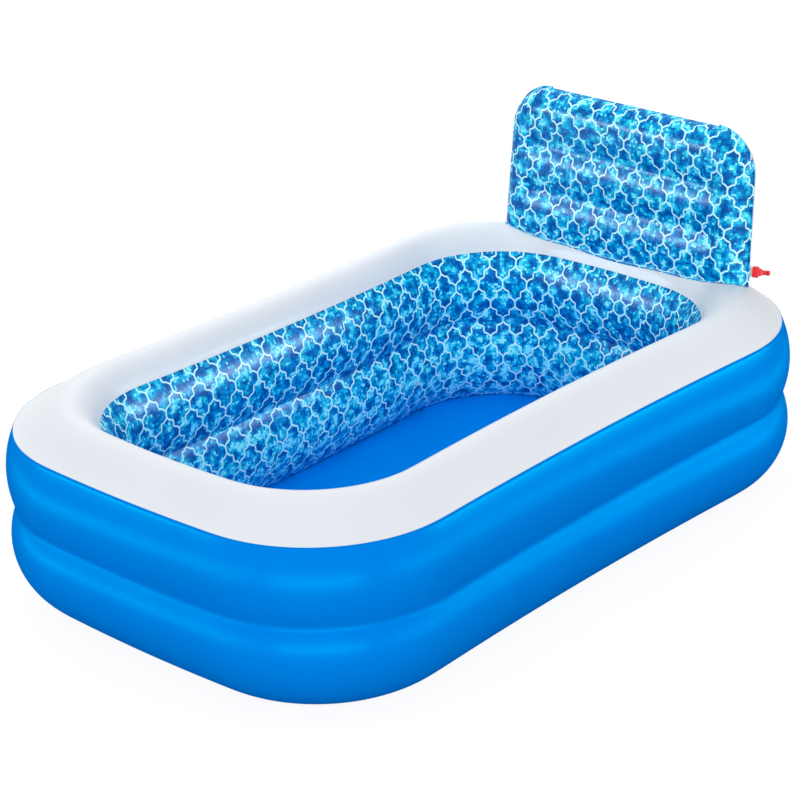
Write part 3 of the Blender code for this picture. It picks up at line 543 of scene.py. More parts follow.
def panel_skin(name, depth, sign):
    """One skin, trimmed to stand on the top film, with the print's metres as its UVs."""
    grid = skin_grid(depth, sign)
    middle = len(grid[0]) // 2
    heights = running_lengths([row[middle] for row in grid])
    runs = [running_lengths(row) for row in grid]
    foot = heights[2]
    bm = bmesh.new()
    uv = bm.loops.layers.uv.new("metres")
    verts = [[bm.verts.new(point) for point in row] for row in grid]
    for row in range(len(grid) - 1):
        for index in range(len(grid[0]) - 1):
            corners = [(row, index), (row, index + 1), (row + 1, index + 1), (row + 1, index)]
            if len({tuple(round(c, 6) for c in grid[r][i]) for r, i in corners}) < 4:
                continue
            if sign < 0:
                corners.reverse()
            face = bm.faces.new([verts[r][i] for r, i in corners])
            for loop, (r, i) in zip(face.loops, corners):
                loop[uv].uv = (runs[r][i] - runs[r][middle], heights[r] - foot)
    loose = [vert for vert in bm.verts if not vert.link_faces]
    bmesh.ops.delete(bm, geom=loose, context="VERTS")
    bmesh.ops.transform(bm, matrix=panel_frame, verts=bm.verts)
    for vert in bm.verts:
        if vert.co.z < TRIM_BELOW:
            vert.co.z = max(vert.co.z, top_surface_at(vert.co.x, vert.co.y) + TRIM_STAND)
    return film_piece(name, bm)


panel_front = panel_skin("panel_front_film", PANEL_FRONT_DEPTH, -1)
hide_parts("panel_front_skin")
panel_back = panel_skin("panel_back_film", PANEL_BACK_DEPTH, 1)
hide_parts("panel_back_skin")
print("panel:", len(panel_front.data.polygons), "faces a skin")

# %% [markdown]
# The two webs are strips of clear film from skin to skin. Pulled tight in the middle, they are drawn in
# a little at their free ends.

# %% Panel webs
WEB_COLUMNS = 48
WEB_ROWS = 10
WEB_DRAW = 6 * MM
WEB_DRAW_POWER = 8


def panel_web(node, groove):
    """A strip of film from skin to skin behind a groove."""
    bm = bmesh.new()
    grid = []
    for column in range(WEB_COLUMNS + 1):
        across = GROOVE_HALF_LENGTH * (2 * column / WEB_COLUMNS - 1)
        front = -panel_depth(across, groove, PANEL_FRONT_DEPTH) + GAP
        back = panel_depth(across, groove, PANEL_BACK_DEPTH) - GAP
        line = []
        for row in range(WEB_ROWS + 1):
            share = row / WEB_ROWS
            free = (abs(across) / GROOVE_HALF_LENGTH) ** WEB_DRAW_POWER * math.sin(math.pi * share)
            drawn = across - math.copysign(WEB_DRAW * free, across)
            line.append(bm.verts.new((drawn, front + (back - front) * share, groove)))
        grid.append(line)
    for low, high in zip(grid, grid[1:]):
        for index in range(WEB_ROWS):
            bm.faces.new((low[index], high[index], high[index + 1], low[index + 1]))
    bmesh.ops.transform(bm, matrix=panel_frame, verts=bm.verts)
    web = film_piece(node + "_film", bm, 0.0)
    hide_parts(node)
    return web


webs = [panel_web("panel_web_lower", GROOVE_HEIGHTS[0]), panel_web("panel_web_upper", GROOVE_HEIGHTS[1])]
print("webs:", len(webs), "of", len(webs[0].data.polygons), "faces")

# %% [markdown]
# Shader maths reads best as maths. A small class wraps a socket, and its operators add Math nodes; two
# plain numbers never meet here, they are worked out in Python.


# %% Shader helper
def put(tree, socket, value):
    """Link a shader value to a socket, or set a plain value on it."""
    if isinstance(value, Sock):
        tree.links.new(value.socket, socket)
    else:
        socket.default_value = value


class Sock:
    """A shader value that can be used in sums."""

    def __init__(self, tree, socket):
        self.tree = tree
        self.socket = socket

    def math(self, operation, *others):
        node = self.tree.nodes.new("ShaderNodeMath")
        node.operation = operation
        for place, value in enumerate((self,) + others):
            put(self.tree, node.inputs[place], value)
        return Sock(self.tree, node.outputs[0])

    def __add__(self, other):
        return self.math("ADD", other)

    def __sub__(self, other):
        return self.math("SUBTRACT", other)

    def __rsub__(self, other):
        return self * -1 + other

    def __mul__(self, other):
        return self.math("MULTIPLY", other)

    def clamp(self):
        return self.math("MAXIMUM", 0.0).math("MINIMUM", 1.0)


class Shader:
    """A material with its Principled shader, and a short way to add any node to it."""

    def __init__(self, name):
        self.material = bpy.data.materials.new(name)
        self.material.use_nodes = True
        self.tree = self.material.node_tree
        self.bsdf = self.tree.nodes["Principled BSDF"]

    def node(self, kind, inputs=(), out=0, **settings):
        node = self.tree.nodes.new("ShaderNode" + kind)
        for key, value in settings.items():
            setattr(node, key, value)
        for key, value in dict(inputs).items():
            put(self.tree, node.inputs[key], value)
        return Sock(self.tree, node.outputs[out])

    def const(self, **values):
        for key, value in values.items():
            self.bsdf.inputs[key.replace("_", " ")].default_value = value

    def feed(self, key, value):
        self.tree.links.new(value.socket, self.bsdf.inputs[key])

    def noise(self, vector, scale, detail=2.0, roughness=0.5):
        return self.node("TexNoise", {"Vector": vector, "Scale": scale, "Detail": detail,
                                      "Roughness": roughness})

    def steps(self, value, stops):
        """A colour for each stretch of a value, from (start, colour) stops."""
        node = self.tree.nodes.new("ShaderNodeValToRGB")
        elements = node.color_ramp.elements
        node.color_ramp.interpolation = "CONSTANT"
        while len(elements) < len(stops):
            elements.new(1.0)
        for element, (place, colour) in zip(elements, stops):
            element.position = place
            element.color = (*colour, 1)
        self.tree.links.new(value.socket, node.inputs["Fac"])
        return Sock(self.tree, node.outputs["Color"])

    def mix(self, share, first, second, blend="MIX"):
        """Mix two colours, each a shader value or three numbers."""
        node = self.tree.nodes.new("ShaderNodeMix")
        node.data_type = "RGBA"
        node.blend_type = blend
        put(self.tree, node.inputs[0], share)
        for key, colour in ((6, first), (7, second)):
            put(self.tree, node.inputs[key], colour if isinstance(colour, Sock) else (*colour, 1))
        return Sock(self.tree, node.outputs[2])

    def bump(self, height, distance):
        inputs = {"Height": height, "Distance": distance, "Strength": 1.0}
        self.feed("Normal", self.node("Bump", inputs))


def mix_shaders(tree, share, first, second, output):
    """Send a mix of two shaders to a tree's output node."""
    mixer = tree.nodes.new("ShaderNodeMixShader")
    put(tree, mixer.inputs[0], share)
    tree.links.new(first, mixer.inputs[1])
    tree.links.new(second, mixer.inputs[2])
    tree.links.new(mixer.outputs[0], tree.nodes[output].inputs[0])


def linear(red, green, blue):
    """A colour given as screen values from 0 to 255, as the shader's linear values."""
    return tuple(c / 12.92 if c <= 0.04045 else ((c + 0.055) / 1.055) ** 2.4
                 for c in (red / 255, green / 255, blue / 255))


def give(obj, shader):
    """Assign a shader's material to an object's own slots."""
    if not obj.material_slots:
        obj.data.materials.append(None)
    for place in obj.material_slots:
        place.link = "OBJECT"
        place.material = shader.material


# %% [markdown]
# The vinyl film is a glossy plastic with a very fine orange-peel skin, faint scuffs, and slack waves a
# few centimetres long where the air doesn't pull it quite tight.


# %% Film shader
def film_shader(name, roughness, specular, peel=1.0):
    shader = Shader(name)
    place = shader.node("TexCoord", out=3)
    fine = shader.noise(place, 420.0)
    shader.scuff = shader.noise(place, 34.0, 5.0, 0.62)
    shader.slack = shader.noise(place, 5.0, 1.0)
    shader.height = fine * (0.06 * peel) + shader.scuff * 0.05 + shader.slack * 1.6
    shader.const(Specular_IOR_Level=specular)
    shader.feed("Roughness", shader.scuff * 0.12 + (roughness - 0.06) + fine * 0.03)
    return shader


def coloured_gloss(shader, colour, roughness, share):
    """Mix in a little gloss of the film's own dye, as a pigmented vinyl shows at any angle."""
    tree = shader.tree
    gloss = tree.nodes.new("ShaderNodeBsdfPrincipled")
    for key, value in (("Base Color", (*colour, 1)), ("Specular Tint", (*colour, 1)), ("Metallic", 1.0),
                       ("Roughness", roughness)):
        gloss.inputs[key].default_value = value
    tree.links.new(shader.bsdf.inputs["Normal"].links[0].from_socket, gloss.inputs["Normal"])
    mix_shaders(tree, share, shader.bsdf.outputs[0], gloss.outputs[0], "Material Output")


# %% [markdown]
# The outer wall is one deep cyan blue, and the floor film a lighter one. Their gloss is tinted by the
# dye, so that it never looks grey.

# %% Blue film
DYE_GLOSS = (0.0, 0.8, 0.8)

blue = film_shader("blue_vinyl_film", 0.4, 0.0)
tone = blue.mix(blue.slack, linear(0, 118, 215), linear(0, 125, 222))
blue.feed("Base Color", blue.mix(blue.scuff * 0.3, tone, linear(0, 131, 227)))
blue.bump(blue.height, 0.6 * MM)
coloured_gloss(blue, DYE_GLOSS, 0.33, 0.015)
give(outer_wall, blue)

floor_blue = film_shader("floor_vinyl_film", 0.4, 0.0, 2.0)
tone = floor_blue.mix(floor_blue.slack, linear(0, 140, 238), linear(0, 150, 250))
floor_blue.feed("Base Color", tone)
floor_blue.bump(floor_blue.height, 1.2 * MM)
coloured_gloss(floor_blue, DYE_GLOSS, 0.34, 0.04)
give(floor, floor_blue)

# %% [markdown]
# The top sheet and the panel's back are white film, slightly cold, with a soft gloss.

# %% White film
white = film_shader("white_vinyl_film", 0.3, 0.1)
tone = white.mix(white.slack, linear(214, 219, 224), linear(219, 224, 229))
white.feed("Base Color", white.mix(white.scuff * 0.25, tone, linear(209, 215, 222)))
white.bump(white.height, 0.6 * MM)
give(top_film, white)
give(panel_back, white)

# %% [markdown]
# The print is a traditional lattice of four-lobed cells whose points meet, in near-white lines over a
# mosaic of small blue squares. It is drawn in the film's own metres. The lattice has two mirror lines
# in each cell, so the place is folded into a quarter cell with ping-pong nodes, and the line is where
# the folded place is near a short straight, a step or a round arc.


# %% Print
LINE_HALF = 2.7 * MM
LINE_SOFTNESS = 1.2 * MM
LINE_COLOUR = linear(200, 252, 255)
STRAIGHT_SHARE = 0.0775
STEP_SHARE = 0.2
DRAWN_CELL = 0.1
ARC_CENTRE = (0.0233, -0.005)
ARC_RADIUS = 0.0306
ARC_START = (15.0, 26.7)
SQUARE = 7.6 * MM
SPECK_ABOVE = 0.93
PAINTED_FILL_LIFT = 0.15
NOWHERE = 9.0
MOSAIC = (
    (0.0, linear(0, 88, 158)), (0.22, linear(0, 106, 176)), (0.37, linear(0, 126, 192)),
    (0.50, linear(0, 150, 204)), (0.61, linear(8, 176, 216)), (0.71, linear(36, 202, 228)),
    (0.83, linear(90, 228, 244)), (0.96, linear(150, 248, 254)),
)


def length(a, b):
    return (a * a + b * b).math("SQRT")


def lattice_line(across, down, cell_width, cell_height):
    """1 on the lattice's line and 0 beside it."""
    quarter = cell_height / 4
    flip = down.math("PINGPONG", cell_height / 2).math("GREATER_THAN", quarter)
    y = down.math("PINGPONG", quarter)
    x = (across + flip * (cell_width / 2)).math("PINGPONG", cell_width / 2)
    straight = length(x - cell_width / 2, (y - STRAIGHT_SHARE * cell_height).math("MAXIMUM", 0.0))
    step = length(x - cell_width / 4, (y - STEP_SHARE * cell_height).math("MINIMUM", 0.0))
    scale = cell_width / DRAWN_CELL
    dx = x - ARC_CENTRE[0] * scale
    dy = y - ARC_CENTRE[1] * scale
    past_start = (dy * ARC_START[1] - dx * ARC_START[0]).math("GREATER_THAN", 0.0)
    off_arc = 1 - past_start * x.math("GREATER_THAN", cell_width / 4)
    ring = (length(dx, dy) - ARC_RADIUS * scale).math("ABSOLUTE") + off_arc
    distance = straight.math("MINIMUM", step).math("MINIMUM", ring)
    return ((LINE_HALF + LINE_SOFTNESS / 2 - distance) * (1 / LINE_SOFTNESS)).clamp()


def mosaic_colour(shader, uv, down, painted_fill_from):
    """A colour for each small square: random, in clusters, and lighter below a place down the film, which
    is painted fill light for the shaded lower wall.
    """
    grid = shader.node("VectorMath", {0: uv, 1: (SQUARE, SQUARE, SQUARE)}, operation="SNAP")
    cell = shader.node("TexWhiteNoise", {"Vector": grid})
    cluster = shader.noise(grid, 30.0, 0.0)
    patch = shader.noise(grid, 72.0, 0.0)
    speck = cell.math("GREATER_THAN", SPECK_ABOVE)
    # Painted light: below a place down the film the print is made lighter, a painted fill that stands in
    # for light on the shaded lower inner wall.
    pale = down.math("GREATER_THAN", painted_fill_from) * PAINTED_FILL_LIFT
    tone = cluster * 1.5 + patch * 0.9 + cell * 0.35 + speck * 0.2 - 0.865 + pale
    mosaic = shader.steps(tone, MOSAIC)
    hue = shader.noise(grid, 19.0, 1.0) * 3.0 - 1.0
    bluer = shader.mix(1.0, mosaic, (0.5, 0.8, 1.1), "MULTIPLY")
    return shader.mix(hue.clamp() * 0.5, mosaic, bluer)


def printed(name, cell_width, cell_height, start_u, start_v, painted_fill_from):
    shader = film_shader(name, 0.26, 0.08)
    uv = shader.node("UVMap", uv_map="metres")
    split = shader.tree.nodes.new("ShaderNodeSeparateXYZ")
    shader.tree.links.new(uv.socket, split.inputs[0])
    across = Sock(shader.tree, split.outputs[0]) + start_u
    down = Sock(shader.tree, split.outputs[1]) + start_v
    line = lattice_line(across, down, cell_width, cell_height)
    mosaic = mosaic_colour(shader, uv, down, painted_fill_from)
    shader.feed("Base Color", shader.mix(line, mosaic, LINE_COLOUR))
    shader.bump(shader.height, 0.6 * MM)
    return shader


# The inner wall's print gets this painted fill light from a place on its shaded lower ring down; the
# panel's print gets none.
inner_print = printed("printed_wall_film", cell_width=REPEAT_WIDTH, cell_height=0.1400, start_u=0.0224,
                      start_v=0.0308, painted_fill_from=0.34)
give(inner_wall, inner_print)
panel_print = printed("printed_panel_film", cell_width=0.0900, cell_height=0.1420, start_u=0.061,
                      start_v=0.045, painted_fill_from=NOWHERE)
give(panel_front, panel_print)
print("print:", len(panel_print.tree.nodes), "nodes in a material")

# %% [markdown]
# The fittings are small mouldings. Each is built from lofted rings and blocks in the frame of its own
# seat, whose Z points out of the film, and a bevel rounds the edges as a mould does.

# %% Fitting tools
SIDES = 48
MERGE = 0.002 * MM
MOULD_ANGLE = math.radians(35)


def seat(place, outward, up=(0, 0, 1)):
    """A seat's frame: Z outward, Y as near as can be to up."""
    axis = Vector(outward).normalized()
    side = Vector(up).cross(axis).normalized()
    return Matrix.Translation(place) @ Matrix((side, axis.cross(side), axis)).transposed().to_4x4()


def ease(share):
    """A share that starts and ends gently."""
    return share * share * (3 - 2 * share)


def ring_at(radius, height, shape=None, sides=SIDES):
    """A ring of points about Z; shape adds to the radius at an angle."""
    points = []
    for k in range(sides):
        angle = math.tau * k / sides
        far = radius + (shape(angle) if shape else 0)
        points.append(Vector((far * math.cos(angle), far * math.sin(angle), height)))
    return points


class Moulding:
    """One moulded piece that replaces one CAD node."""

    def __init__(self, place):
        self.place = place
        self.bm = bmesh.new()

    def loft(self, rings):
        """Join rings of points, the last one with the first."""
        rows = [[self.bm.verts.new(point) for point in ring] for ring in rings]
        for low, high in zip(rows, rows[1:] + rows[:1]):
            for index in range(len(low)):
                after = (index + 1) % len(low)
                self.bm.faces.new((low[index], low[after], high[after], high[index]))
        return self

    def spin(self, profile, shift=(0, 0, 0)):
        """Spin a closed profile of (radius, height) points about Z, then shift it."""
        return self.loft([[point + Vector(shift) for point in ring_at(radius, height)]
                          for radius, height in profile])

    def block(self, low, high):
        low = Vector(low)
        high = Vector(high)
        made = bmesh.ops.create_cube(self.bm, size=1)["verts"]
        bmesh.ops.scale(self.bm, vec=high - low, verts=made)
        bmesh.ops.translate(self.bm, vec=(low + high) / 2, verts=made)
        return self

    def finish(self, node, body, rounding):
        """Round the piece's edges and put it in its CAD node's place."""
        bmesh.ops.remove_doubles(self.bm, verts=self.bm.verts, dist=MERGE)
        bmesh.ops.recalc_face_normals(self.bm, faces=self.bm.faces)
        obj = linked_piece(node + "_moulding", self.bm)
        obj.matrix_world = self.place
        bevel = obj.modifiers.new("mould_edges", "BEVEL")
        bevel.width = rounding
        bevel.segments = 2
        bevel.limit_method = "ANGLE"
        bevel.angle_limit = MOULD_ANGLE
        bevel.harden_normals = True
        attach(obj, body)
        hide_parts(node)
        give(obj, finish_of[slots[node]])


def ridges(first, last, height, count, rise=0.2 * MM, width=0.4 * MM):
    """Profile points of small weld ridges on a flat ring."""
    points = []
    for index in range(count):
        middle = first + (last - first) * index / (count - 1)
        points += [(middle - width, height), (middle, height + rise), (middle + width, height)]
    return points


# %% [markdown]
# Under a welded flange the film lies flat, and it has a round hole where the fitting goes through. So the
# film gets a closer mesh there, which is pressed into the seat's plane and opened.

# %% Flat pads
PAD_MESH = 7 * MM
PAD_PASSES = 6


def flat_pad(film, place, outward, flat, fade, hole):
    """Press a film flat as far as flat from a place, less and less out to fade, and open a hole."""
    centre = Vector(place)
    normal = Vector(outward).normalized()
    bm = bmesh.new()
    bm.from_mesh(film.data)

    def in_plane(point):
        offset = point - centre
        return offset - normal * offset.dot(normal)

    def near(edge):
        middle = (edge.verts[0].co + edge.verts[1].co) / 2
        return (middle - centre).length < fade + edge.calc_length() / 2 and edge.calc_length() > PAD_MESH

    for _ in range(PAD_PASSES):
        long_edges = [edge for edge in bm.edges if near(edge)]
        if not long_edges:
            break
        bmesh.ops.subdivide_edges(bm, edges=long_edges, cuts=1, use_grid_fill=True)
    for vert in bm.verts:
        if (vert.co - centre).length < fade:
            share = min(max((fade - in_plane(vert.co).length) / (fade - flat), 0), 1)
            vert.co -= normal * (vert.co - centre).dot(normal) * ease(share)
    gone = []
    for face in bm.faces:
        middle = face.calc_center_median()
        if (middle - centre).length < fade and in_plane(middle).length < hole:
            gone.append(face)
    bmesh.ops.delete(bm, geom=gone, context="FACES")
    for edge in bm.edges:
        if edge.is_boundary and (edge.verts[0].co - centre).length < hole * 2:
            for vert in edge.verts:
                vert.co = centre + in_plane(vert.co).normalized() * hole
    bm.to_mesh(film.data)
    bm.free()
    film.data.shade_smooth()


# %% [markdown]
# An air valve is welded on by its flange. Its stem is pulled out to blow and pushed in afterwards; a
# plug cap on a strap closes it, and a thin flap at its inner end holds the air back while the cap is
# off. All three valves are one moulding tool's work.

# %% Valves
FLANGE_RADIUS = 19 * MM
FLANGE_THICKNESS = 1 * MM
FLANGE_EDGE = 0.8 * MM
RIDGES_FROM = 14.2 * MM
RIDGES_TO = 17 * MM
PAD_EDGE = 4 * MM
PAD_FADE = 30 * MM
HUB_RADIUS = 9.4 * MM
HUB_DEPTH = 2.6 * MM
STEM_RADIUS = 7 * MM
STEM_BORE = 4.8 * MM
STEM_LENGTH = 17 * MM
RIM_RADIUS = 9.5 * MM
RIM_THICKNESS = 1.6 * MM
BEAD_RADIUS = 8.6 * MM
BEAD_LENGTH = 2.4 * MM
FLAP_THICKNESS = 0.8 * MM
STRAP_REACH = 13 * MM
STRAP_WIDTH = 5 * MM
STRAP_STEP = 0.15 * MM
STRAP_OVERLAP = 0.6 * MM
CHAMFER = 0.3 * MM
DISH_SHARE = 0.35
DISH_FLOOR = 1.2 * MM
DISH_RIM = 0.4 * MM
PLUG_WALL = 0.8 * MM
PLUG_SLOPE = 1.0 * MM
TAB_RIB_WIDTH = 0.5 * MM
TAB_RIB_SINK = 0.1 * MM


def cap(place, node, radius, thickness, plug, taper, depth, reach, width, tab):
    """A cap on its hinge: a dished disc with a tapered plug, a strap and a finger tab with three ribs."""
    piece = Moulding(place)
    dish = thickness - thickness * DISH_SHARE
    end = plug - taper
    bottom = -depth + 1 * MM
    piece.spin([(0, dish), (plug - DISH_FLOOR, dish), (plug - DISH_RIM, thickness), (radius, thickness),
                (radius, 0), (plug, 0), (end, -depth), (end - PLUG_WALL, -depth),
                (end - PLUG_SLOPE, bottom), (0, bottom)], (0, -reach, 0))
    far = -reach - radius - tab
    low = thickness * 0.2
    high = thickness * 0.75
    piece.block((-width / 2, -reach + radius - STRAP_OVERLAP, low), (width / 2, 0, high))
    piece.block((-width / 2, far, low), (width / 2, -reach - radius + STRAP_OVERLAP, high))
    for share in (0.2, 0.45, 0.7):
        rib = far + tab * share
        piece.block((-width * 0.4, rib, high - TAB_RIB_SINK), (width * 0.4, rib + TAB_RIB_WIDTH, thickness))
    piece.finish(node, node, 0.2 * MM)


def valve(name, place, outward, film):
    """A valve's flange, stem, cap and flap on a film."""
    valve_seat = seat(place, outward)
    flat_pad(film, place, outward, FLANGE_RADIUS + PAD_EDGE, FLANGE_RADIUS + PAD_FADE, HUB_RADIUS + GAP)
    face = FLANGE_THICKNESS + GAP
    guide = STEM_RADIUS + GAP
    flange = Moulding(valve_seat).spin(
        [(guide, face)] + ridges(RIDGES_FROM, RIDGES_TO, face, 3) +
        [(FLANGE_RADIUS - FLANGE_EDGE, face), (FLANGE_RADIUS, GAP + CHAMFER), (FLANGE_RADIUS, GAP),
         (HUB_RADIUS, GAP), (HUB_RADIUS, -HUB_DEPTH), (guide, -HUB_DEPTH)])
    flange.finish(name + "_flange", "pool", 0.15 * MM)
    under = face + GAP
    top = under + RIM_THICKNESS
    foot = under - STEM_LENGTH
    stem = Moulding(valve_seat).spin([
        (STEM_BORE, top - CHAMFER), (STEM_BORE + CHAMFER, top), (RIM_RADIUS, top), (RIM_RADIUS, under),
        (STEM_RADIUS, under), (STEM_RADIUS, foot + BEAD_LENGTH), (BEAD_RADIUS, foot + BEAD_LENGTH),
        (BEAD_RADIUS, foot), (STEM_BORE, foot)])
    stem.block((-STRAP_WIDTH / 2, RIM_RADIUS - RIM_THICKNESS, under + STRAP_STEP),
               (STRAP_WIDTH / 2, STRAP_REACH, top - STRAP_STEP))
    stem.finish(name + "_stem", name + "_stem", 0.25 * MM)
    cap(valve_seat @ Matrix.Translation((0, STRAP_REACH, top + GAP)), name + "_cap", radius=8 * MM,
        thickness=1.6 * MM, plug=STEM_BORE - GAP, taper=0.8 * MM, depth=RIM_THICKNESS * 2,
        reach=STRAP_REACH, width=STRAP_WIDTH, tab=4 * MM)
    flap = Moulding(valve_seat @ Matrix.Translation((0, STEM_RADIUS, foot - GAP)))
    flap.spin([(0, -FLAP_THICKNESS), (STEM_RADIUS, -FLAP_THICKNESS), (STEM_RADIUS, 0), (0, 0)],
              (0, -STEM_RADIUS, 0))
    flap.finish(name + "_flap", name + "_flap", 0.1 * MM)


# %% [markdown]
# The materials of the small parts: clear soft vinyl for what is welded to the film, thin clear film for
# the divider and the webs, hard red plastic for the hose connector, white plastic for its boss and
# black rubber for its seals. A node whose CAD mesh is kept takes its material here too.

# %% Moulded materials
def moulded(name, colour, roughness, specular=0.5):
    shader = Shader(name)
    place = shader.node("TexCoord", out=3)
    grain = shader.noise(place, 900.0)
    wear = shader.noise(place, 60.0, 4.0)
    shader.const(Specular_IOR_Level=specular)
    shader.feed("Base Color", shader.mix(wear * 0.35, colour, tuple(c * 0.75 for c in colour)))
    shader.feed("Roughness", wear * 0.2 + (roughness - 0.08))
    shader.bump(grain + wear * 0.5, 0.06 * MM)
    return shader


clear = moulded("clear_soft_vinyl", linear(206, 220, 232), 0.28)
clear.const(Transmission_Weight=0.45, IOR=1.5)
thin = moulded("clear_film_vinyl", linear(200, 220, 235), 0.3)
red = moulded("red_moulded_plastic", linear(232, 20, 34), 0.3)
black = moulded("black_seal_rubber", linear(24, 24, 27), 0.55, 0.3)
milk = moulded("white_moulded_plastic", linear(222, 224, 232), 0.35)
finish_of = {"clear_vinyl": clear, "clear_film": thin, "red_plastic": red, "black_rubber": black,
             "white_plastic": milk}
slots = {part["node"]: part["material_slot"] for part in frame["record"]["subparts"]}
for name, obj in frame["nodes"].items():
    if slots[name] in finish_of:
        give(obj, finish_of[slots[name]])
for film in (divider, *webs):
    give(film, thin)

VALVES = (
    ("lower_ring_valve", (-0.74139, 0.3, 0.1466), (-0.97701, -0.01191, -0.21286), outer_wall),
    ("upper_ring_valve", (-0.7461, 0.3, 0.40353), (-0.9997, -0.01219, 0.02118), outer_wall),
    ("panel_valve", (-0.20019, 1.1107, 0.64362), (0, 0.99897, -0.04533), panel_back),
)
for name, place, outward, film in VALVES:
    valve(name, place, outward, film)
print("valves:", len(VALVES))

# %% [markdown]
# The drain is a larger plug in the floor, on its own strap.

# %% Drain
DRAIN_FLANGE = 30 * MM
DRAIN_FLANGE_EDGE = 1 * MM
DRAIN_RIDGES_FROM = 21 * MM
DRAIN_RIDGES_TO = 27.5 * MM
DRAIN_PAD_FADE = 8 * MM
DRAIN_HUB = 17 * MM
DRAIN_HUB_FILLET = 1 * MM
DRAIN_HEIGHT = 8 * MM
DRAIN_BORE = 13 * MM
DRAIN_CHAMFER = 0.5 * MM
DRAIN_WEB = 1.2 * MM
DRAIN_REACH = 24 * MM
DRAIN_STRAP = 9 * MM
PLUG_THICKNESS = 2.4 * MM
drain_seat = seat((0.34, -0.6, FLOOR_TOP), (0, 0, 1), (0, 1, 0))
flat_pad(floor, drain_seat.translation, (0, 0, 1), DRAIN_FLANGE, DRAIN_FLANGE + DRAIN_PAD_FADE, DRAIN_BORE)
drain = Moulding(drain_seat).spin(
    [(DRAIN_BORE, DRAIN_HEIGHT - DRAIN_CHAMFER), (DRAIN_BORE + DRAIN_CHAMFER, DRAIN_HEIGHT),
     (DRAIN_HUB, DRAIN_HEIGHT), (DRAIN_HUB, DRAIN_WEB + DRAIN_HUB_FILLET),
     (DRAIN_HUB + DRAIN_HUB_FILLET, DRAIN_WEB)] +
    ridges(DRAIN_RIDGES_FROM, DRAIN_RIDGES_TO, DRAIN_WEB, 4, 0.25 * MM, 0.6 * MM) +
    [(DRAIN_FLANGE - DRAIN_FLANGE_EDGE, DRAIN_WEB), (DRAIN_FLANGE, CHAMFER), (DRAIN_FLANGE, 0),
     (DRAIN_BORE, 0)])
drain.block((-DRAIN_STRAP / 2, DRAIN_HUB - PLUG_THICKNESS, DRAIN_HEIGHT - PLUG_THICKNESS),
            (DRAIN_STRAP / 2, DRAIN_REACH, DRAIN_HEIGHT - STRAP_STEP))
drain.finish("drain_flange", "pool", 0.2 * MM)
cap(drain_seat @ Matrix.Translation((0, DRAIN_REACH, DRAIN_HEIGHT + GAP)), "drain_plug",
    radius=17.5 * MM, thickness=PLUG_THICKNESS, plug=DRAIN_BORE - GAP, taper=1.2 * MM, depth=6 * MM,
    reach=DRAIN_REACH, width=DRAIN_STRAP, tab=8 * MM)
print("drain: a flange and a plug in the floor")

# %% [markdown]
# The hose inlet: a boss with a real helical thread, and on it the red connector. Its nut has fourteen
# grip ribs and turns on the tail's collar, and the tail tapers to a tip with a rubber ring.

# %% Hose inlet
inlet = seat((0.46953, 1.08052, 0.60711), (0.86603, 0.4981, -0.04358))
SPIGOT = 13 * MM
SPIGOT_LENGTH = 14 * MM
SPIGOT_CHAMFER = 0.8 * MM
THREAD_PITCH = 1.814 * MM
THREAD_HEIGHT = 0.35 * MM
THREAD_ROWS = 56
THREAD_FADE_ROWS = 6
THREAD_RUN_SHARE = 0.96
BOSS_SIDES = 96
BOSS_FACE = 1.4 * MM + GAP
BOSS_END = BOSS_FACE + SPIGOT_LENGTH
BOSS_BORE = SPIGOT - 4 * MM
BOSS_FLANGE = 22 * MM
BOSS_BACK = -4 * MM
BARB = 6 * MM * math.cos(math.pi / 8) - 1 * MM - GAP
BARB_BORE = BARB - 1.2 * MM
BARB_END = -14 * MM
INSIDE = SPIGOT + 0.5 * MM


def thread_ring(row):
    """One ring of the helical thread, which runs out at both ends."""
    height = SPIGOT_LENGTH * THREAD_RUN_SHARE * (1 - row / THREAD_ROWS)
    fade = min(row, THREAD_ROWS - row, THREAD_FADE_ROWS) / THREAD_FADE_ROWS

    def thread(angle):
        return THREAD_HEIGHT * fade * (0.5 + 0.5 * math.cos(math.tau * height / THREAD_PITCH - angle))

    return ring_at(SPIGOT, BOSS_FACE + height, thread, BOSS_SIDES)


def plain_rings(profile):
    return [ring_at(radius, height, None, BOSS_SIDES) for radius, height in profile]


boss_end = plain_rings([(BOSS_BORE, BOSS_END), (SPIGOT - SPIGOT_CHAMFER, BOSS_END)])
boss_threads = [thread_ring(row) for row in range(THREAD_ROWS + 1)]
boss_back = plain_rings([
    (SPIGOT, BOSS_FACE), (BOSS_FLANGE, BOSS_FACE), (BOSS_FLANGE, GAP), (SPIGOT, GAP), (SPIGOT, BOSS_BACK),
    (BARB, BOSS_BACK), (BARB, BARB_END), (BARB_BORE, BARB_END), (BARB_BORE, BOSS_FACE),
    (BOSS_BORE, BOSS_FACE)])
Moulding(inlet).loft(boss_end + boss_threads + boss_back).finish("inlet_boss", "pool", 0.2 * MM)

washer_low = BOSS_END + GAP
washer_high = washer_low + 2 * MM
washer = Moulding(inlet).spin([(BOSS_BORE, washer_high), (INSIDE - GAP, washer_high),
                               (INSIDE - GAP, washer_low), (BOSS_BORE, washer_low)])
washer.finish("inlet_washer", "hose_connector", 0.3 * MM)
print("inlet: a boss with", round(SPIGOT_LENGTH / THREAD_PITCH, 1), "turns of thread, and a washer")

# %% [markdown]
# The nut is lofted from ribbed rings, and the tail and its seal are spun.

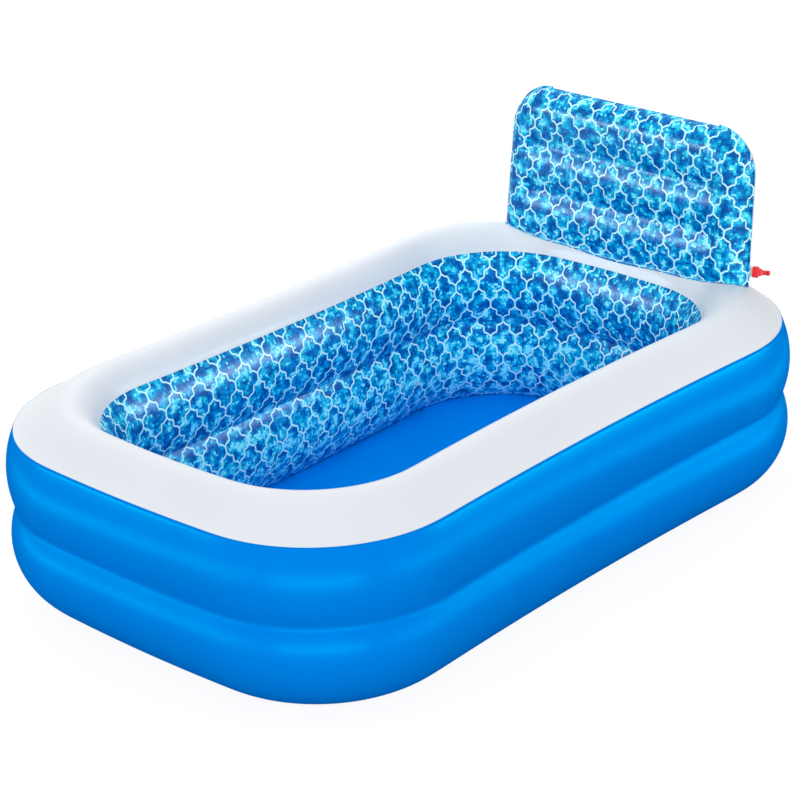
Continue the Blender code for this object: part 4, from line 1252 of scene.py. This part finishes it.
# %% Hose connector
NUT_LENGTH = 20 * MM
NUT_END = 3 * MM
NUT_RADIUS = INSIDE + 4.5 * MM
NUT_SKIRT = 1.6 * MM
NUT_RIBS = 14
RIB_DEPTH = 1.5 * MM
RIB_MARGIN = 2.2 * MM
RIB_SQUARENESS = 2.2
RIB_SIDES = 12
NECK = SPIGOT - 3.5 * MM
CONE_LENGTH = 16 * MM
CONE_FOOT = 2 * MM
CONE_STEPS = 12
TIP_LENGTH = 19 * MM
TIP_RADIUS = 7.5 * MM
TAIL_BORE = 4.5 * MM
SEAL_WIRE = 1.6 * MM
SEAL_FROM_TIP = 9.5 * MM
SEAL_SIDES = 16
collar_low = washer_high + GAP
collar_high = collar_low + 2.5 * MM
nut_high = collar_high + GAP + NUT_END
nut_low = nut_high - NUT_LENGTH


def ribs(angle):
    """Round-topped ribs with hollows between them."""
    wave = math.tanh(RIB_SQUARENESS * math.cos(NUT_RIBS * angle)) / math.tanh(RIB_SQUARENESS)
    return -RIB_DEPTH * (0.5 - 0.5 * wave)


def below_ribs(angle):
    """The plain skirt at the nut's mouth, at every angle a little under the hollows."""
    return -RIB_DEPTH - 0.3 * MM


nut_profile = [(NUT_RADIUS, nut_low, below_ribs), (NUT_RADIUS, nut_low + NUT_SKIRT, below_ribs)]
for share in (0.0, 0.5, 1.0):
    height = nut_low + RIB_MARGIN + (nut_high - nut_low - 2 * RIB_MARGIN) * share
    nut_profile.append((NUT_RADIUS, height, ribs))
nut_profile += [
    (NUT_RADIUS - 0.6 * MM, nut_high - 1 * MM, ribs), (NUT_RADIUS - RIB_DEPTH - 0.8 * MM, nut_high, None),
    (NECK + GAP, nut_high, None), (NECK + GAP, nut_high - NUT_END, None),
    (INSIDE, nut_high - NUT_END, None), (INSIDE, nut_low, None)]
nut = Moulding(inlet).loft([ring_at(radius, height, shape, NUT_RIBS * RIB_SIDES)
                            for radius, height, shape in nut_profile])
nut.finish("coupling_nut", "coupling_nut", 0.25 * MM)

cone_low = nut_high + GAP
cone_high = cone_low + CONE_LENGTH
tip = cone_high + TIP_LENGTH
groove_low = tip - SEAL_FROM_TIP
groove_high = groove_low + 2 * SEAL_WIRE
groove_radius = TIP_RADIUS - SEAL_WIRE
cone = []
for step in range(CONE_STEPS + 1):
    share = step / CONE_STEPS
    cone.append((TIP_RADIUS + (SPIGOT - TIP_RADIUS) * ease(share),
                 cone_high - (cone_high - cone_low - CONE_FOOT) * share))
tail = Moulding(inlet).spin(
    [(TAIL_BORE, tip), (TIP_RADIUS - 0.8 * MM, tip), (TIP_RADIUS, tip - 1 * MM), (TIP_RADIUS, groove_high),
     (groove_radius, groove_high), (groove_radius, groove_low), (TIP_RADIUS, groove_low),
     (TIP_RADIUS, cone_high + 3 * MM), (TIP_RADIUS + 0.5 * MM, cone_high + 2 * MM)] + cone +
    [(SPIGOT, cone_low), (NECK, cone_low), (NECK, collar_high), (INSIDE - GAP, collar_high),
     (INSIDE - GAP, collar_low), (TAIL_BORE, collar_low)])
tail.finish("hose_tail", "hose_connector", 0.2 * MM)

wire = SEAL_WIRE - GAP
major = groove_radius + GAP + wire
middle = (groove_low + groove_high) / 2
seal = []
for k in range(SEAL_SIDES):
    angle = math.tau * k / SEAL_SIDES
    seal.append((major + wire * math.cos(angle), middle + wire * math.sin(angle)))
Moulding(inlet).spin(seal).finish("tail_seal", "hose_connector", 0)
print("connector: a nut with", NUT_RIBS, "ribs, a tail and a seal")

# %% [markdown]
# The ground is a white sweep. It is lit up by itself in the camera's view, so that it stays white
# right up to the object, while the object's own shadow still darkens it.

# %% Ground
GROUND_SIZE = 40
GROUND_GLOW = 1.04
GLOW_SHARE = 0.88


def seen_rays(tree):
    """1 where the camera, a gloss or a clear piece looks, 0 where light is gathered for a surface."""
    path = tree.nodes.new("ShaderNodeLightPath")
    kinds = ("Is Camera Ray", "Is Glossy Ray", "Is Transmission Ray")
    camera_ray, glossy_ray, clear_ray = [Sock(tree, path.outputs[kind]) for kind in kinds]
    return camera_ray.math("MAXIMUM", glossy_ray).math("MAXIMUM", clear_ray)


bpy.ops.mesh.primitive_plane_add(size=GROUND_SIZE, location=(0, 0, -0.5 * MM))
ground = bpy.context.object
ground.name = "ground"
sweep = Shader("white_sweep")
seen = seen_rays(sweep.tree)
grain = sweep.noise(sweep.node("TexCoord", out=3), 3.0, 3.0)
pale = sweep.mix(grain, (0.9, 0.9, 0.9), (0.92, 0.92, 0.92))
sweep.const(Roughness=0.9, Specular_IOR_Level=0.0)
sweep.feed("Base Color", sweep.mix(seen, (0.52, 0.54, 0.56), pale))
glow = sweep.node("Emission", {"Color": (1, 1, 1, 1), "Strength": GROUND_GLOW})
mix_shaders(sweep.tree, seen * GLOW_SHARE, sweep.bsdf.outputs[0], glow.socket, "Material Output")
give(ground, sweep)

# %% [markdown]
# Product photographs of this kind are taken in a white tent. A very soft lamp from the front and one
# from behind fill the shade. The strips only show as gloss: two high ones on the panel and the inner
# wall, and three low ones as the pale streak on the upper curve of each ring.


# %% Lights
SUN_TRAVEL = (-4.7, 5.3, -3.9)
SUN_POWER = 1.36
SUN_SOFTNESS = math.radians(40)
TENT_POWER = 0.77
STRIP_COLOUR = (0.72, 0.9, 1.0)
# Each row gives a name, a place, what the lamp faces, its width, its height and its power.
BACK_FILL = ("back_fill", (-4.5, 3.0, 4.5), (0, 0, 0.4), 4.0, 3.0, 220)
STRIPS = (
    ("left_strip", (-3.6, -4.4, 2.0), (0, 0.9, 0.6), 2.2, 0.7, 520),
    ("right_strip", (3.9, 3.9, 1.7), (-0.47, 0, 0.4), 3.0, 0.8, 620),
    ("low_strip_end", (-0.9, -2.1, 0.05), (-0.3, -1.2, 0.3), 3.2, 0.16, 44),
    ("low_strip_corner", (1.3, -1.9, 0.16), (0.5, -1.0, 0.3), 1.6, 0.1, 20),
    ("low_strip_side", (1.6, 0.8, 0.12), (0.74, 0.3, 0.3), 4.2, 0.16, 40),
)


def lamp(name, kind, power, travel):
    """A lamp that shines along travel and isn't itself in the picture."""
    data = bpy.data.lights.new(name, kind)
    data.energy = power
    obj = bpy.data.objects.new(name, data)
    obj.rotation_euler = Vector(travel).to_track_quat("-Z", "Y").to_euler()
    obj.visible_camera = False
    bpy.context.scene.collection.objects.link(obj)
    return obj


def soft_box(name, place, target, width, height, power):
    obj = lamp(name, "AREA", power, Vector(target) - Vector(place))
    obj.location = place
    obj.data.shape = "RECTANGLE"
    obj.data.size = width
    obj.data.size_y = height
    return obj


front_fill = lamp("front_fill", "SUN", SUN_POWER, SUN_TRAVEL)
front_fill.data.angle = SUN_SOFTNESS
for fill in (front_fill, soft_box(*BACK_FILL)):
    fill.visible_glossy = False
for row in STRIPS:
    strip = soft_box(*row)
    strip.data.color = STRIP_COLOUR
    strip.visible_diffuse = False

world = bpy.data.worlds.new("tent")
world.use_nodes = True
bpy.context.scene.world = world
tree = world.node_tree
base = tree.nodes["Background"]
bright = tree.nodes.new("ShaderNodeBackground")
for background, strength in ((base, TENT_POWER), (bright, 1.0)):
    background.inputs["Color"].default_value = (1, 1, 1, 1)
    background.inputs["Strength"].default_value = strength
mix_shaders(tree, seen_rays(tree), base.outputs[0], bright.outputs[0], "World Output")
print("lamps:", 2 + len(STRIPS))

# %% [markdown]
# The camera was fitted to the photograph's outline points: a long lens, about eight metres away,
# looking down on the near corner.

# %% Camera
CAMERA_PLACE = (4.8305, -5.4432, 3.6151)
AZIMUTH = math.radians(41.904)
ELEVATION = math.radians(23.765)
ROLL = math.radians(-1.325)
FOCAL_PIXELS = 2650.67
PHOTO_PIXELS = 800
SENSOR_WIDTH = 36.0
camera = bpy.data.objects.new("camera", bpy.data.cameras.new("camera"))
bpy.context.scene.collection.objects.link(camera)
bpy.context.scene.camera = camera
back = Vector((math.sin(AZIMUTH) * math.cos(ELEVATION), -math.cos(AZIMUTH) * math.cos(ELEVATION),
               math.sin(ELEVATION)))
right = Vector((math.cos(AZIMUTH), math.sin(AZIMUTH), 0))
up = back.cross(right)
axis_x = right * math.cos(ROLL) + up * math.sin(ROLL)
axis_y = up * math.cos(ROLL) - right * math.sin(ROLL)
turn = Matrix((axis_x, axis_y, back)).transposed().to_4x4()
camera.matrix_world = Matrix.Translation(CAMERA_PLACE) @ turn
camera.data.sensor_width = SENSOR_WIDTH
camera.data.lens = FOCAL_PIXELS / PHOTO_PIXELS * SENSOR_WIDTH
bpy.context.scene.view_settings.view_transform = "Standard"
print("camera: lens", round(camera.data.lens, 1), "mm")
